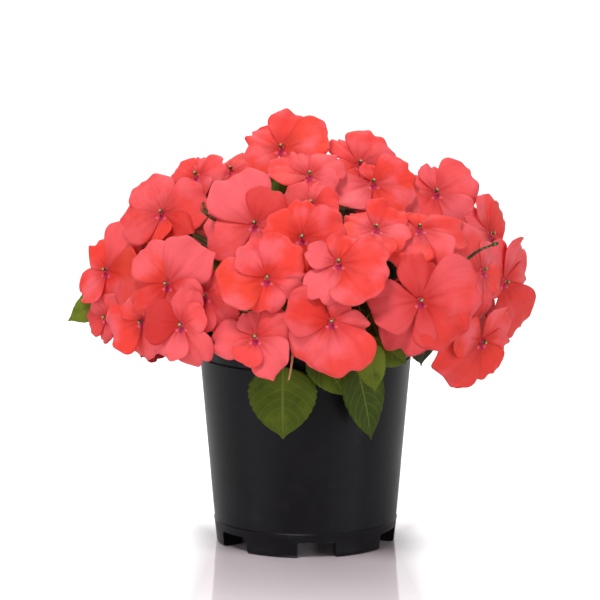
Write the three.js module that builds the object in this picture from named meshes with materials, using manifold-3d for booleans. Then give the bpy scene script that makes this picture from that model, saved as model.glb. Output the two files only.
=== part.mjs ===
// A busy lizzie (Impatiens) in flower, growing in a round black nursery pot.
//
// Units are millimetres and +Z is up. The plant is laid out round the pot's axis, and the whole
// group is then moved so that the origin is on the ground under the middle of the plant. The front
// of the plant is -Y. Pieces that touch in the real object are 0.3 mm apart.

import * as THREE from "three";
import { mergeVertices } from "three/addons/utils/BufferGeometryUtils.js";
import Module from "manifold-3d";

const wasm = await Module();
wasm.setup();

// ---- Driving dimensions -------------------------------------------------------------------

const GAP = 0.3; // between pieces that touch
const BLADE = 0.8; // thickness of a petal or a leaf

const POT_HEIGHT = 115;
const POT_RADIUS_AT_LEDGE = 57.1; // outside, at the ledge below the rim band
const POT_RADIUS_AT_BASE = 48.4; // outside, of the wall where it would meet the ground
const LEDGE_HEIGHT = 102;
const LEDGE_STEP = 0.8; // how far the rim band is set back above the ledge
const LIP_RADIUS = 57.5;
const BASE_BAND_HEIGHT = 12;
const BASE_BAND_STEP = 0.4; // how far the base band stands proud
const WALL = 1.8;
const FLOOR_UNDERSIDE = 9;
const FLOOR_THICKNESS = 2;
const POT_SIDES = 30;

const FEET = 6;
const FIRST_GAP_ANGLE = 7.2; // degrees from the front, towards +X, of one gap between two feet
const FOOT_GAP_ANGLE = 25;
const FOOT_GAP_HEIGHT = 8.7;
const FOOT_CORNER = 1.5;
const FOOT_DEPTH = 12; // from the outside of the wall inwards
const DRAIN_HOLE_RADIUS = 4;
const DRAIN_HOLE_CIRCLE = 29;

const SOIL_BELOW_LIP = 11;
const SOIL_BUMPS = 1.4;
const SOIL_SIDES = 18;

const STEMS = 6;
const STEM_RADIUS = 3.2;
const STEM_CIRCLE = 15; // radius of the circle on which the stems leave the soil
const STEM_ROOT_DEPTH = 22; // how far a stem goes down into its hole
const STEM_HOLE_RADIUS = 4.1;

// The mound: blooms stand on this ellipsoid or just outside it.
const MOUND = { wide: 106, deep: 96, tall: 76, centre: 128 };

// The front blooms are set out as seen by someone who stands in front of the plant: the eye's
// distance, how far above the horizontal it is, in degrees, and the point that it looks at.
const EYE = { distance: 1800, lift: 9, target: [-3, 0, 131.6] };

// ---- Small helpers ------------------------------------------------------------------------

const radians = THREE.MathUtils.degToRad;
const vec = (x, y, z) => new THREE.Vector3(x, y, z);

/** An even spread of values from 0 to 1: the fractional part of steps of the golden ratio. */
function spread(n, channel = 0) {
  const steps = (n + 1) * 0.618034 + channel * 0.377;
  return steps - Math.floor(steps);
}

/** A unit vector that points turn degrees to the right of the front and lift degrees upwards. */
function facing(turn, lift) {
  const t = radians(turn);
  const l = radians(lift);
  return vec(Math.sin(t) * Math.cos(l), -Math.cos(t) * Math.cos(l), Math.sin(l));
}

/** A closed solid from points and from triangles that list them. */
function solidFrom(points, triangles) {
  const geometry = new THREE.BufferGeometry().setFromPoints(points);
  geometry.setIndex(triangles);
  return solidOf(geometry);
}

/** A closed solid from a three.js geometry. */
function solidOf(geometry) {
  const bare = geometry.clone();
  bare.deleteAttribute("normal");
  bare.deleteAttribute("uv");
  const merged = mergeVertices(bare, 1e-4);
  return new wasm.Manifold(
    new wasm.Mesh({
      numProp: 3,
      vertProperties: new Float32Array(merged.attributes.position.array),
      triVerts: new Uint32Array(merged.index.array),
    }),
  );
}

/** A three.js geometry from a solid. */
function geometryOf(solid) {
  const mesh = solid.getMesh();
  const geometry = new THREE.BufferGeometry();
  geometry.setAttribute("position", new THREE.BufferAttribute(mesh.vertProperties, 3));
  geometry.setIndex(new THREE.BufferAttribute(mesh.triVerts, 1));
  geometry.computeVertexNormals();
  return geometry;
}

/** The pose of a piece whose own +Z points along normal and whose own +X along sideways. */
function poseOf(position, sideways, normal) {
  const z = normal.clone().normalize();
  const x = sideways.clone().addScaledVector(z, -sideways.dot(z)).normalize();
  const y = vec(0, 0, 0).crossVectors(z, x);
  return new THREE.Matrix4().makeBasis(x, y, z).setPosition(position);
}

const placed = (solid, pose) => solid.transform(pose.elements);

/** True where a solid keeps the gap to every solid of a list. */
function isClear(solid, others, gap = GAP) {
  const own = solid.boundingBox();
  return others.every((other) => {
    const box = other.boundingBox();
    const apart = [0, 1, 2].some(
      (k) => own.min[k] > box.max[k] + gap || own.max[k] < box.min[k] - gap,
    );
    return apart || solid.minGap(other, gap) >= gap;
  });
}

/** A stalk of flat sides along a line of points, with a radius at its start and at its end. */
function stalk(line, startRadius, endRadius, sides) {
  const points = [];
  const triangles = [];
  let sideways = vec(0.3, 0.2, 1);
  line.forEach((point, step) => {
    const ahead = line[Math.min(step + 1, line.length - 1)];
    const behind = line[Math.max(step - 1, 0)];
    const along = ahead.clone().sub(behind).normalize();
    sideways = sideways.clone().addScaledVector(along, -sideways.dot(along)).normalize();
    const third = vec(0, 0, 0).crossVectors(along, sideways);
    const radius = THREE.MathUtils.lerp(startRadius, endRadius, step / (line.length - 1));
    for (let k = 0; k < sides; k += 1) {
      const angle = (k / sides) * 2 * Math.PI;
      points.push(
        point
          .clone()
          .addScaledVector(sideways, radius * Math.cos(angle))
          .addScaledVector(third, radius * Math.sin(angle)),
      );
    }
  });
  for (let step = 0; step < line.length - 1; step += 1) {
    for (let k = 0; k < sides; k += 1) {
      const here = step * sides + k;
      const next = step * sides + ((k + 1) % sides);
      triangles.push(here, next, next + sides, here, next + sides, here + sides);
    }
  }
  const last = (line.length - 1) * sides;
  for (let k = 1; k < sides - 1; k += 1) {
    triangles.push(0, k + 1, k, last, last + k, last + k + 1);
  }
  return solidFrom(points, triangles);
}

/** Points on a smooth curve through a few given ones. */
function smoothLine(through, steps) {
  return new THREE.CatmullRomCurve3(through, false, "centripetal").getPoints(steps);
}

// ---- The pot ------------------------------------------------------------------------------

const TAPER = (POT_RADIUS_AT_LEDGE - POT_RADIUS_AT_BASE) / LEDGE_HEIGHT;
const wallRadius = (z) => POT_RADIUS_AT_BASE + TAPER * z;
const FLOOR_TOP = FLOOR_UNDERSIDE + FLOOR_THICKNESS;
const FLOOR_RADIUS = wallRadius(FLOOR_TOP) - WALL; // inside, where the wall meets the floor
const LIP_INSIDE = LIP_RADIUS - WALL - 0.6;
const INSIDE_TAPER = (LIP_INSIDE - FLOOR_RADIUS) / (POT_HEIGHT - FLOOR_TOP);
const insideRadius = (z) => FLOOR_RADIUS + INSIDE_TAPER * (z - FLOOR_TOP);

/** A solid of revolution about +Z from [radius, height] pairs that start and end on the axis. */
function turned(profile, sides) {
  const points = profile.map(([radius, z]) => new THREE.Vector2(radius, z));
  const geometry = new THREE.LatheGeometry(points, sides);
  geometry.rotateX(Math.PI / 2);
  return solidOf(geometry);
}

/** The gap between two feet: a slot with rounded corners, cut outwards from the axis. */
function footGap() {
  const half = POT_RADIUS_AT_BASE * Math.sin(radians(FOOT_GAP_ANGLE / 2));
  const r = FOOT_CORNER;
  const outline = new THREE.Shape();
  outline.moveTo(-half - r, -1);
  outline.lineTo(half + r, -1);
  outline.lineTo(half + r, 0);
  outline.quadraticCurveTo(half, 0, half, r);
  outline.lineTo(half, FOOT_GAP_HEIGHT - r);
  outline.quadraticCurveTo(half, FOOT_GAP_HEIGHT, half - r, FOOT_GAP_HEIGHT);
  outline.lineTo(r - half, FOOT_GAP_HEIGHT);
  outline.quadraticCurveTo(-half, FOOT_GAP_HEIGHT, -half, FOOT_GAP_HEIGHT - r);
  outline.lineTo(-half, r);
  outline.quadraticCurveTo(-half, 0, -half - r, 0);
  const length = POT_RADIUS_AT_BASE;
  const slot = new THREE.ExtrudeGeometry(outline, {
    depth: length,
    bevelEnabled: false,
    curveSegments: 1,
  });
  slot.rotateX(Math.PI / 2); // the outline stands up, and the slot runs along -Y
  slot.translate(0, -POT_RADIUS_AT_BASE / 2, 0);
  return solidOf(slot);
}

function makePot() {
  const band = (z) => wallRadius(z) + BASE_BAND_STEP;
  let pot = turned(
    [
      [0, FLOOR_UNDERSIDE],
      [wallRadius(FLOOR_UNDERSIDE) - FOOT_DEPTH, FLOOR_UNDERSIDE],
      [wallRadius(0) - FOOT_DEPTH, 0],
      [band(0) - 0.8, 0],
      [band(1.2), 1.2],
      [band(BASE_BAND_HEIGHT - 0.4), BASE_BAND_HEIGHT - 0.4],
      [wallRadius(BASE_BAND_HEIGHT), BASE_BAND_HEIGHT],
      [wallRadius(LEDGE_HEIGHT), LEDGE_HEIGHT],
      [wallRadius(LEDGE_HEIGHT) - LEDGE_STEP, LEDGE_HEIGHT + 0.4],
      [LIP_RADIUS, POT_HEIGHT - 0.8],
      [LIP_RADIUS - 0.6, POT_HEIGHT],
      [LIP_INSIDE, POT_HEIGHT],
      [FLOOR_RADIUS, FLOOR_TOP],
      [0, FLOOR_TOP],
    ],
    POT_SIDES,
  );
  const gap = footGap();
  for (let k = 0; k < FEET; k += 1) {
    const angle = FIRST_GAP_ANGLE + (k * 360) / FEET;
    pot = pot.subtract(gap.rotate([0, 0, angle]));
    const drain = new THREE.CylinderGeometry(DRAIN_HOLE_RADIUS, DRAIN_HOLE_RADIUS, 6, 8);
    drain.rotateX(Math.PI / 2);
    const place = facing(angle + 180 / FEET, 0).multiplyScalar(DRAIN_HOLE_CIRCLE);
    drain.translate(place.x, place.y, FLOOR_UNDERSIDE + FLOOR_THICKNESS / 2);
    pot = pot.subtract(solidOf(drain));
  }
  return pot;
}

// ---- The stems' lines, which the soil's holes and all that grows on them follow -------------

/** Direction from the front towards +X, in degrees, of each stem. */
const stemAngle = (index) => (index * 360) / STEMS;

/** A stem's line leaves the soil upright and leans outwards. */
function stemLine(index) {
  const out = facing(stemAngle(index), 0);
  const at = (radius, z) => out.clone().multiplyScalar(radius).setZ(z);
  const soilTop = POT_HEIGHT - SOIL_BELOW_LIP;
  return [
    at(STEM_CIRCLE, soilTop - STEM_ROOT_DEPTH),
    at(STEM_CIRCLE, soilTop + 3),
    at(STEM_CIRCLE + 5, soilTop + 22),
    at(STEM_CIRCLE + 13, soilTop + 42),
    at(STEM_CIRCLE + 18, soilTop + 60),
  ];
}

/** A side branch leaves the stem low down and reaches out over the pot's lip. */
function branchLine(index) {
  const out = facing(stemAngle(index), 0);
  const at = (radius, z) => out.clone().multiplyScalar(radius).setZ(z);
  const soilTop = POT_HEIGHT - SOIL_BELOW_LIP;
  return [
    at(STEM_CIRCLE + 1, soilTop + 8),
    at(STEM_CIRCLE + 19, soilTop + 21),
    at(STEM_CIRCLE + 42, soilTop + 25),
  ];
}

// ---- The growing medium -------------------------------------------------------------------

function makeSoil() {
  const bottom = FLOOR_TOP + GAP;
  const top = POT_HEIGHT - SOIL_BELOW_LIP;
  const inside = (z) => insideRadius(z) * Math.cos(Math.PI / POT_SIDES) - GAP;
  const rings = [0.95, 0.5];
  const profile = [
    [0, bottom],
    [inside(bottom), bottom],
    [inside(top - 2), top - 2],
    ...rings.map((part) => [part * inside(top), top]),
    [0, top],
  ];
  const geometry = new THREE.LatheGeometry(
    profile.map(([radius, z]) => new THREE.Vector2(radius, z)),
    SOIL_SIDES,
  );
  geometry.rotateX(Math.PI / 2);
  const position = geometry.attributes.position;
  for (let k = 0; k < position.count; k += 1) {
    const x = position.getX(k);
    const y = position.getY(k);
    const onTop = position.getZ(k) > top - 1;
    const bump = Math.sin(x * 0.31 + 1) * Math.cos(y * 0.27) + 0.6 * Math.sin(x * 0.13 - y * 0.4);
    if (onTop) position.setZ(k, top + SOIL_BUMPS * 0.6 * bump);
  }
  let soil = solidOf(geometry);
  for (let k = 0; k < STEMS; k += 1) {
    const foot = stemLine(k)[0];
    const hole = new THREE.CylinderGeometry(STEM_HOLE_RADIUS, STEM_HOLE_RADIUS, 60, 8);
    hole.rotateX(Math.PI / 2);
    hole.translate(foot.x, foot.y, foot.z - GAP + 30);
    soil = soil.subtract(solidOf(hole));
  }
  return soil;
}

// ---- One bloom ----------------------------------------------------------------------------

// One side of a petal's edge, in parts of the petal's length: [sideways, outwards].
const PETAL_EDGE = [
  [0.5, 0.56],
  [0.48, 0.8],
  [0.26, 0.98],
];
const PETAL_NOTCH = 0.9;
const PETALS = 5;
const PETAL_SIZES = [0.95, 1, 1.05, 1.05, 1]; // the upright petal first, then to its left and round
const CLOSEST_PETALS = 55; // degrees between two petals at least, so that they leave the hub apart
const LONGEST_PETAL = 33;
const SHORTEST_PETAL = 13;
const HUB_RADIUS = 2.2;
const HUB_HALF_ANGLE = 25; // of the part of the hub that one petal grows from
const HUB_TWIST = 0.75; // a petal's left side leaves the hub higher, and its right side lower
const PETAL_TWIST = 0.062; // the same at its widest, in parts of its length
const PETAL_ARCH = 0.04;
const SIZE_SPREAD = 0.16; // how much the petals of a bloom differ in length
const BEND_SPREAD = 0.05; // how much they differ in how far their tips bend forward or back
const COLUMN_HEIGHT = 3.4;
const HUB_DEPTH = 2.6;

/** Height of a petal's face, in parts of its length, out along it and across it from -1 to 1. */
function petalHeight(out, across, cup) {
  const arch = PETAL_ARCH * Math.sin(Math.PI * out);
  return cup * out * out + arch + PETAL_TWIST * across * Math.min(1, out / PETAL_EDGE[0][1]);
}

/** The petals of bloom n, of about one length and evenly spaced round it: their angles and lengths. */
function evenPetals(n, length) {
  return PETAL_SIZES.map((size, petal) => ({
    angle: Math.PI / 2 + (petal * 2 * Math.PI) / PETALS,
    reach: size * length * (1 + SIZE_SPREAD * (spread(PETALS * n + petal, 5) - 0.5)),
  }));
}

/** The same petals, turned towards even spacing just so far that no two are too close. */
function spaced(petals) {
  const even = (2 * Math.PI) / PETALS;
  const sorted = petals.map((petal) => ({ ...petal })).sort((a, b) => a.angle - b.angle);
  const tooClose = sorted.map((petal, k) => {
    const next = k + 1 < PETALS ? sorted[k + 1].angle : sorted[0].angle + 2 * Math.PI;
    const room = next - petal.angle;
    return room < radians(CLOSEST_PETALS) ? (even - radians(CLOSEST_PETALS)) / (even - room) : 1;
  });
  const keep = Math.min(...tooClose);
  const first = sorted.reduce((sum, petal, k) => sum + petal.angle - k * even, 0) / PETALS;
  return sorted.map(({ angle, reach }, k) => {
    const evenly = first + k * even;
    return { angle: evenly + keep * (angle - evenly), reach };
  });
}

/** Bloom n, which faces +Z. Its petals overlap like a fan's. */
function makeBloom(n, petals, cup) {
  const top = [];
  const triangles = [];
  const ring = [];
  petals.forEach(({ angle, reach }, petal) => {
    const outwards = vec(Math.cos(angle), Math.sin(angle), 0);
    const leftwards = vec(-Math.sin(angle), Math.cos(angle), 0);
    const bend = cup + BEND_SPREAD * (spread(PETALS * n + petal, 6) - 0.5);
    const point = (across, out, side) =>
      vec(0, 0, reach * petalHeight(out, side, bend))
        .addScaledVector(outwards, out * reach)
        .addScaledVector(leftwards, across * reach);
    const hubPoint = (side) => {
      const turn = angle + side * radians(HUB_HALF_ANGLE);
      return vec(HUB_RADIUS * Math.cos(turn), HUB_RADIUS * Math.sin(turn), side * HUB_TWIST);
    };
    const widest = PETAL_EDGE[0][0];
    const right = PETAL_EDGE.map(([across, out]) => point(-across, out, -across / widest));
    const left = PETAL_EDGE.map(([across, out]) => point(across, out, across / widest)).reverse();
    const edge = [hubPoint(-1), ...right, point(0, PETAL_NOTCH, 0), ...left, hubPoint(1)];
    const first = top.length;
    top.push(...edge, point(0, 0.55, 0));
    const middle = first + edge.length;
    for (let k = 0; k < edge.length; k += 1) {
      triangles.push(middle, first + k, first + ((k + 1) % edge.length));
    }
    ring.push(first, first + edge.length - 1);
  });
  // The back of the bloom repeats its face one thickness lower, turned round.
  const under = top.length;
  const points = [...top, ...top.map((p) => p.clone().setZ(p.z - BLADE))];
  const faces = [...triangles];
  for (let k = 0; k < triangles.length; k += 3) {
    faces.push(triangles[k] + under, triangles[k + 2] + under, triangles[k + 1] + under);
  }
  const wall = (a, b) => faces.push(a, a + under, b + under, a, b + under, b);
  const perPetal = top.length / PETALS;
  for (let petal = 0; petal < PETALS; petal += 1) {
    const first = petal * perPetal;
    for (let k = 0; k < perPetal - 2; k += 1) wall(first + k, first + k + 1);
  }
  const columnTip = points.push(vec(0, 0, COLUMN_HEIGHT)) - 1;
  const hubBack = points.push(vec(0, 0, -HUB_DEPTH)) - 1;
  ring.forEach((here, k) => {
    const next = ring[(k + 1) % ring.length];
    faces.push(columnTip, here, next, hubBack, next + under, here + under);
    if (k % 2 === 1) wall(here, next);
  });
  return solidFrom(points, faces);
}

// ---- Where the blooms are -------------------------------------------------------------------

// Front blooms, the deepest first. across and up are the place of the bloom's eye, seen from the
// front at eye level, from the middle of the pot's foot. turn and lift say where the bloom faces:
// to the right of the front, and upwards. back is how far behind the mound's surface it stands,
// along the line of sight. petals gives each petal as seen from the front: its direction in
// degrees, to the left round from the right, and how far its tip is from the eye. Blooms that are
// seen from the side or hardly show have even petals of one length instead.
const FRONT_BLOOMS = [
  { across: -2, up: 164, turn: 0, lift: 20, back: 5, petal: 22 },
  { across: -58.5, up: 197, turn: -30, lift: 40,
    petals: [[30, 17], [95, 11], [150, 12], [205, 14], [275, 13]] },
  { across: -40, up: 199, turn: -25, lift: 76, back: 20, petal: 22 },
  { across: -107, up: 121, turn: -42, lift: 2, back: 3,
    petals: [[60, 13], [120, 13], [200, 11], [250, 14], [305, 13]] },
  { across: 99, up: 166, turn: 62, lift: 8, petal: 22 },
  { across: 36, up: 193, turn: 20, lift: 40, back: 12,
    petals: [[14, 22], [100, 11], [205, 25], [268, 17], [322, 24]] },
  { across: 2, up: 197, turn: 5, lift: 48,
    petals: [[35, 21], [115, 16], [175, 23], [258, 12], [340, 16]] },
  { across: -88, up: 119, turn: -30, lift: -8, back: 7,
    petals: [[60, 14], [130, 14], [207, 20], [268, 21], [330, 22]] },
  { across: -107, up: 146, turn: -40, lift: 8,
    petals: [[57, 25], [123, 19], [232, 20], [287, 18], [342, 23]] },
  { across: 95, up: 146, turn: 52, lift: 20,
    petals: [[60, 14], [120, 27], [200, 16], [262, 24], [320, 13]] },
  { across: -77, up: 177, turn: -28, lift: 28,
    petals: [[0, 24], [122, 20], [215, 24], [264, 17], [308, 19]] },
  { across: 70, up: 188, turn: 20, lift: 35,
    petals: [[22, 23], [98, 16], [168, 20], [228, 21], [308, 25]] },
  { across: 29, up: 203, turn: 10, lift: 45, back: -6,
    petals: [[5, 22], [52, 20], [111, 19], [205, 14], [280, 12]] },
  { across: -13, up: 212, turn: -10, lift: 38,
    petals: [[12, 27], [65, 21], [155, 20], [197, 21], [325, 18]] },
  { across: -27, up: 171, turn: -15, lift: 28, back: 4,
    petals: [[60, 21], [122, 30], [195, 28], [255, 19], [330, 22]] },
  { across: 61, up: 168, turn: 20, lift: 55,
    petals: [[8, 26], [80, 9], [160, 13], [235, 20], [310, 21]] },
  { across: 38, up: 168, turn: 10, lift: 52,
    petals: [[60, 16], [150, 18], [205, 18], [265, 16], [330, 18]] },
  { across: 107, up: 140, turn: 50, lift: 0,
    petals: [[58, 24], [105, 21], [225, 11], [290, 29], [355, 16]] },
  { across: 95, up: 108, turn: 40, lift: 0,
    petals: [[48, 20], [170, 15], [232, 28], [287, 20], [342, 16]] },
  { across: 3.5, up: 182, turn: -5, lift: 35,
    petals: [[5, 15], [75, 12], [160, 17], [225, 16], [285, 21]] },
  { across: -54, up: 133, turn: -15, lift: 5, back: 7,
    petals: [[20, 14], [95, 14], [185, 16], [250, 22], [310, 22]] },
  { across: -74, up: 139, turn: -22, lift: 8,
    petals: [[50, 28], [125, 24], [208, 26], [263, 21], [318, 22]] },
  { across: 62, up: 130, turn: 12, lift: 8,
    petals: [[12, 32], [95, 25], [195, 27], [250, 30], [305, 29]] },
  { across: 17.5, up: 150, turn: 8, lift: 35,
    petals: [[70, 15], [160, 18], [250, 22], [308, 26], [350, 27]] },
  { across: -67, up: 117, turn: -15, lift: 5,
    petals: [[20, 14], [75, 19], [180, 20], [250, 20], [290, 24]] },
  { across: 14, up: 119, turn: 0, lift: 5,
    petals: [[60, 13], [165, 25], [235, 27], [290, 30], [345, 20]] },
  { across: -21, up: 142, turn: -6, lift: 18,
    petals: [[50, 24], [122, 21], [195, 26], [265, 18], [355, 20]] },
  { across: -27, up: 110, turn: -8, lift: 18,
    petals: [[25, 20], [110, 14], [188, 24], [240, 16], [308, 22]] },
];

// Rows of blooms round the back: how high on the mound, in degrees, where the row starts and how
// far apart its blooms are, in degrees from the front towards +X, and how many there are.
const BACK_ROWS = [
  { height: -4, start: 112.5, step: 26, count: 6 },
  { height: 25, start: 124, step: 29, count: 5 },
  { height: 50, start: 117, step: 42, count: 4 },
  { height: 74, start: 175, step: 0, count: 1 },
];
const BACK_PETAL = 25.5;
// Small moves round and up, in degrees, that a bloom of a back row may make to lie better.
const BACK_SHIFTS = [[0, 0], [-7, 0], [7, 0], [0, 6], [0, -6], [-6, -5], [6, -5], [6, 5], [-6, 5]];

/** The way a point of the mound faces. */
function moundNormal(point) {
  const { wide, deep, tall, centre } = MOUND;
  return vec(point.x / wide ** 2, point.y / deep ** 2, (point.z - centre) / tall ** 2).normalize();
}

/** The point of the mound in a direction from the front, at a height in degrees. */
function onMound(direction, height) {
  const out = facing(direction, height);
  return vec(out.x * MOUND.wide, out.y * MOUND.deep, MOUND.centre + out.z * MOUND.tall);
}

const OUTLINE_DEPTH = 4; // how far back, at most, a bloom of the front's outline stands
const EYE_TARGET = vec(...EYE.target);
const EYE_UP = facing(180, 90 - EYE.lift);
const EYE_PLACE = facing(0, EYE.lift).multiplyScalar(EYE.distance).add(EYE_TARGET);

/** The point that the eye sees at across, up, measured at the pot's axis: back behind the mound. */
function moundPoint(across, up, back = 0) {
  const { wide, deep, tall, centre } = MOUND;
  const seen = EYE_UP.clone().multiplyScalar(up - EYE_TARGET.dot(EYE_UP)).add(EYE_TARGET).setX(across);
  const ray = seen.clone().sub(EYE_PLACE);
  const stretch = (v) => vec(v.x / wide, v.y / deep, v.z / tall);
  const from = stretch(EYE_PLACE.clone().setZ(EYE_PLACE.z - centre));
  const along = stretch(ray);
  const a = along.lengthSq();
  const b = from.dot(along);
  const inside = b * b - a * (from.lengthSq() - 1);
  const atOutline = (OUTLINE_DEPTH - EYE_PLACE.y) / ray.y;
  const reach = inside > 0 ? Math.min((-b - Math.sqrt(inside)) / a, atOutline) : atOutline;
  return EYE_PLACE.clone().addScaledVector(ray, reach + back / ray.length());
}

const SIDE_ON = 0.5; // a bloom that looks less than this towards the eye rises along its own axis

/** The direction across a bloom, level and to its right, for the way that it faces. */
const levelAcross = (normal) => vec(0, 0, 1).cross(normal).normalize();

/** A bloom's petals in its own plane, from how they are seen by someone in the direction toEye. */
function petalsAsSeen(rows, normal, toEye) {
  const right = levelAcross(normal);
  const above = normal.clone().cross(right);
  const petals = rows.map(([direction, length]) => {
    const angle = radians(direction);
    const seen = vec(Math.cos(angle), 0, 0).addScaledVector(EYE_UP, Math.sin(angle));
    const flat = seen.addScaledVector(toEye, -seen.dot(normal) / toEye.dot(normal));
    const reach = THREE.MathUtils.clamp(length * flat.length(), SHORTEST_PETAL, LONGEST_PETAL);
    return { angle: Math.atan2(flat.dot(above), flat.dot(right)), reach };
  });
  return spaced(petals);
}

/** Every bloom's seats to try, the way it faces and the way it rises, its petals, roll and cup. */
function bloomSeats() {
  const seats = FRONT_BLOOMS.map((row, n) => {
    const seat = moundPoint(row.across, row.up, row.back);
    const normal = facing(row.turn, row.lift);
    const toEye = EYE_PLACE.clone().sub(seat).normalize();
    const way = normal.dot(toEye) > SIDE_ON ? toEye : normal;
    const petals = row.petals ? petalsAsSeen(row.petals, normal, toEye) : evenPetals(n, row.petal);
    return { seats: [seat], normal, way, petals, roll: 0 };
  });
  BACK_ROWS.forEach((row, rowIndex) => {
    for (let k = 0; k < row.count; k += 1) {
      const direction = row.start + k * row.step;
      const n = seats.length;
      const tilt = 0.35 * (spread(n) - 0.3);
      seats.push({
        seats: BACK_SHIFTS.map(([round, up]) => onMound(direction + round, row.height + up)),
        normal: moundNormal(onMound(direction, row.height)).add(vec(0, 0, tilt)).normalize(),
        roll: 50 * (spread(n, 1) - 0.5) + 20 * rowIndex,
        petals: evenPetals(n, BACK_PETAL + 4 * (spread(n, 2) - 0.5)),
      });
    }
  });
  seats.forEach((bloom, n) => {
    bloom.cup = -0.06 + 0.12 * spread(n, 3);
  });
  return seats;
}

/** A bloom's pose: it faces along its normal, and is then rolled. */
function bloomPose(bloom, rise) {
  const sideways = levelAcross(bloom.normal).applyAxisAngle(bloom.normal, radians(bloom.roll));
  const way = bloom.way ?? bloom.normal;
  return poseOf(bloom.seat.clone().addScaledVector(way, rise), sideways, bloom.normal);
}

// ---- Leaves -------------------------------------------------------------------------------

const LEAF_ROWS = [0.1, 0.32, 0.58, 0.83];
const LEAF_WAVE = 0.05; // how far the teeth of the edge stand in and out, in parts of the width
const LEAF_DROOP = 0.16;
const LEAF_FOLD = 0.12;

/** Half the width of a leaf at a part of its length, where the widest is 1. */
const leafOutline = (along) => 2.52 * along ** 0.42 * (1 - along) ** 1.15;

/** A leaf that grows from the origin along +X and faces +Z. */
function makeLeaf(length, width) {
  const points = [];
  const at = (along, across) =>
    vec(
      along * length,
      across,
      -LEAF_DROOP * length * along ** 2 + LEAF_FOLD * Math.abs(across) - 0.02 * Math.abs(across) ** 1.5,
    );
  const rows = [0, ...LEAF_ROWS];
  rows.forEach((along, k) => {
    const tooth = 1 + LEAF_WAVE * (k % 2 === 0 ? -1 : 1);
    const half = k === 0 ? 1 : (tooth * leafOutline(along) * width) / 2;
    points.push(at(along, -half), at(along, 0), at(along, half));
  });
  const tip = points.push(at(1, 0)) - 1;
  const face = [];
  for (let k = 0; k < rows.length - 1; k += 1) {
    const a = 3 * k;
    face.push(a, a + 3, a + 4, a, a + 4, a + 1, a + 1, a + 4, a + 5, a + 1, a + 5, a + 2);
  }
  const last = 3 * (rows.length - 1);
  face.push(last, tip, last + 1, last + 1, tip, last + 2);
  const under = points.length;
  const both = [...points, ...points.map((p) => p.clone().setZ(p.z - BLADE))];
  const faces = [...face];
  for (let k = 0; k < face.length; k += 3) {
    faces.push(face[k] + under, face[k + 2] + under, face[k + 1] + under);
  }
  const rightEdge = rows.map((_, k) => 3 * k);
  const leftEdge = rows.map((_, k) => 3 * k + 2).reverse();
  const loop = [...rightEdge, tip, ...leftEdge, 1];
  loop.forEach((here, k) => {
    const next = loop[(k + 1) % loop.length];
    faces.push(here, here + under, next + under, here, next + under, next);
  });
  return solidFrom(both, faces);
}

// Leaves that hang out below the blooms in front or reach out at the side. base and tip are the
// blade's two ends, and face is the way that its upper side looks, as turn and lift.
const REACHING_LEAVES = [
  { base: [-12, -66, 107], tip: [-12.5, -74, 70], width: 36, turn: -5, lift: 12 },
  { base: [25, -66, 113], tip: [45, -78, 73], width: 27, turn: 35, lift: 12 },
  { base: [31, -79, 122], tip: [37, -86, 98], width: 17, turn: 10, lift: 15 },
  { base: [5, -66, 116], tip: [20, -80, 95], width: 21, turn: -12, lift: 25 },
  { base: [-94, 18, 137], tip: [-132.5, 7, 131], width: 28, turn: -20, lift: 45 },
  { base: [36, -62, 121], tip: [54, -62, 109], width: 22, turn: 20, lift: 25 },
  { base: [32, -52, 135], tip: [45, -61, 112], width: 24, turn: 20, lift: 20 },
  { base: [81, -38, 135], tip: [95, -46, 116], width: 26, turn: 50, lift: 20 },
  { base: [-14, -14, 183], tip: [-23, -18, 203], width: 24, turn: -10, lift: 30 },
  { base: [-8, -54, 143], tip: [-8, -66, 117], width: 24, turn: 0, lift: 20 },
];

// Rows of leaves inside the shell of blooms: how high on the mound, in degrees, the part of the
// mound's size they stand at, the first one's direction, how many there are, and their length.
const LEAF_RINGS = [
  { height: -6, part: 0.8, start: 50, step: 37, count: 8, length: 42 },
  { height: 24, part: 0.74, start: 20, step: 60, count: 6, length: 44 },
  { height: 55, part: 0.72, start: 60, step: 100, count: 3, length: 42 },
];

function leafSeats() {
  const seats = REACHING_LEAVES.map((row) => {
    const base = vec(...row.base);
    const tip = vec(...row.tip);
    return {
      base,
      along: tip.clone().sub(base).normalize(),
      length: tip.distanceTo(base),
      width: row.width,
      normal: facing(row.turn, row.lift),
    };
  });
  LEAF_RINGS.forEach((ring) => {
    for (let k = 0; k < ring.count; k += 1) {
      const n = seats.length;
      const direction = ring.start + k * ring.step;
      const out = facing(direction, ring.height);
      const middle = vec(out.x * MOUND.wide, out.y * MOUND.deep, out.z * MOUND.tall);
      middle.multiplyScalar(ring.part).setZ(MOUND.centre + middle.z);
      const normal = moundNormal(middle);
      const down = vec(0, 0, -1).addScaledVector(normal, normal.z);
      const along = down.normalize().applyAxisAngle(normal, radians(50 * (spread(n) - 0.5)));
      seats.push({
        base: middle.clone().addScaledVector(along, -ring.length / 2),
        along,
        length: ring.length,
        width: ring.length * 0.72,
        normal,
      });
    }
  });
  return seats;
}

// ---- Growing it all -----------------------------------------------------------------------

const leafPose = (leaf) => poseOf(leaf.base, leaf.along, leaf.normal);

/** The number of the stem whose side of the plant a point is on. */
function stemFor(point) {
  const direction = THREE.MathUtils.radToDeg(Math.atan2(point.x, -point.y));
  return Math.round(((direction + 360) % 360) / (360 / STEMS)) % STEMS;
}

// The joints of each stem and its branch, from which flower and leaf stalks grow, and how many
// stalks each joint carries so far.
const joints = Array.from({ length: STEMS }, (_, index) =>
  [...smoothLine(stemLine(index), 14).slice(6), ...smoothLine(branchLine(index), 8).slice(3)].map(
    (place) => ({ place, carries: 0 }),
  ),
);
const CROWDING_COST = 14;

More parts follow.
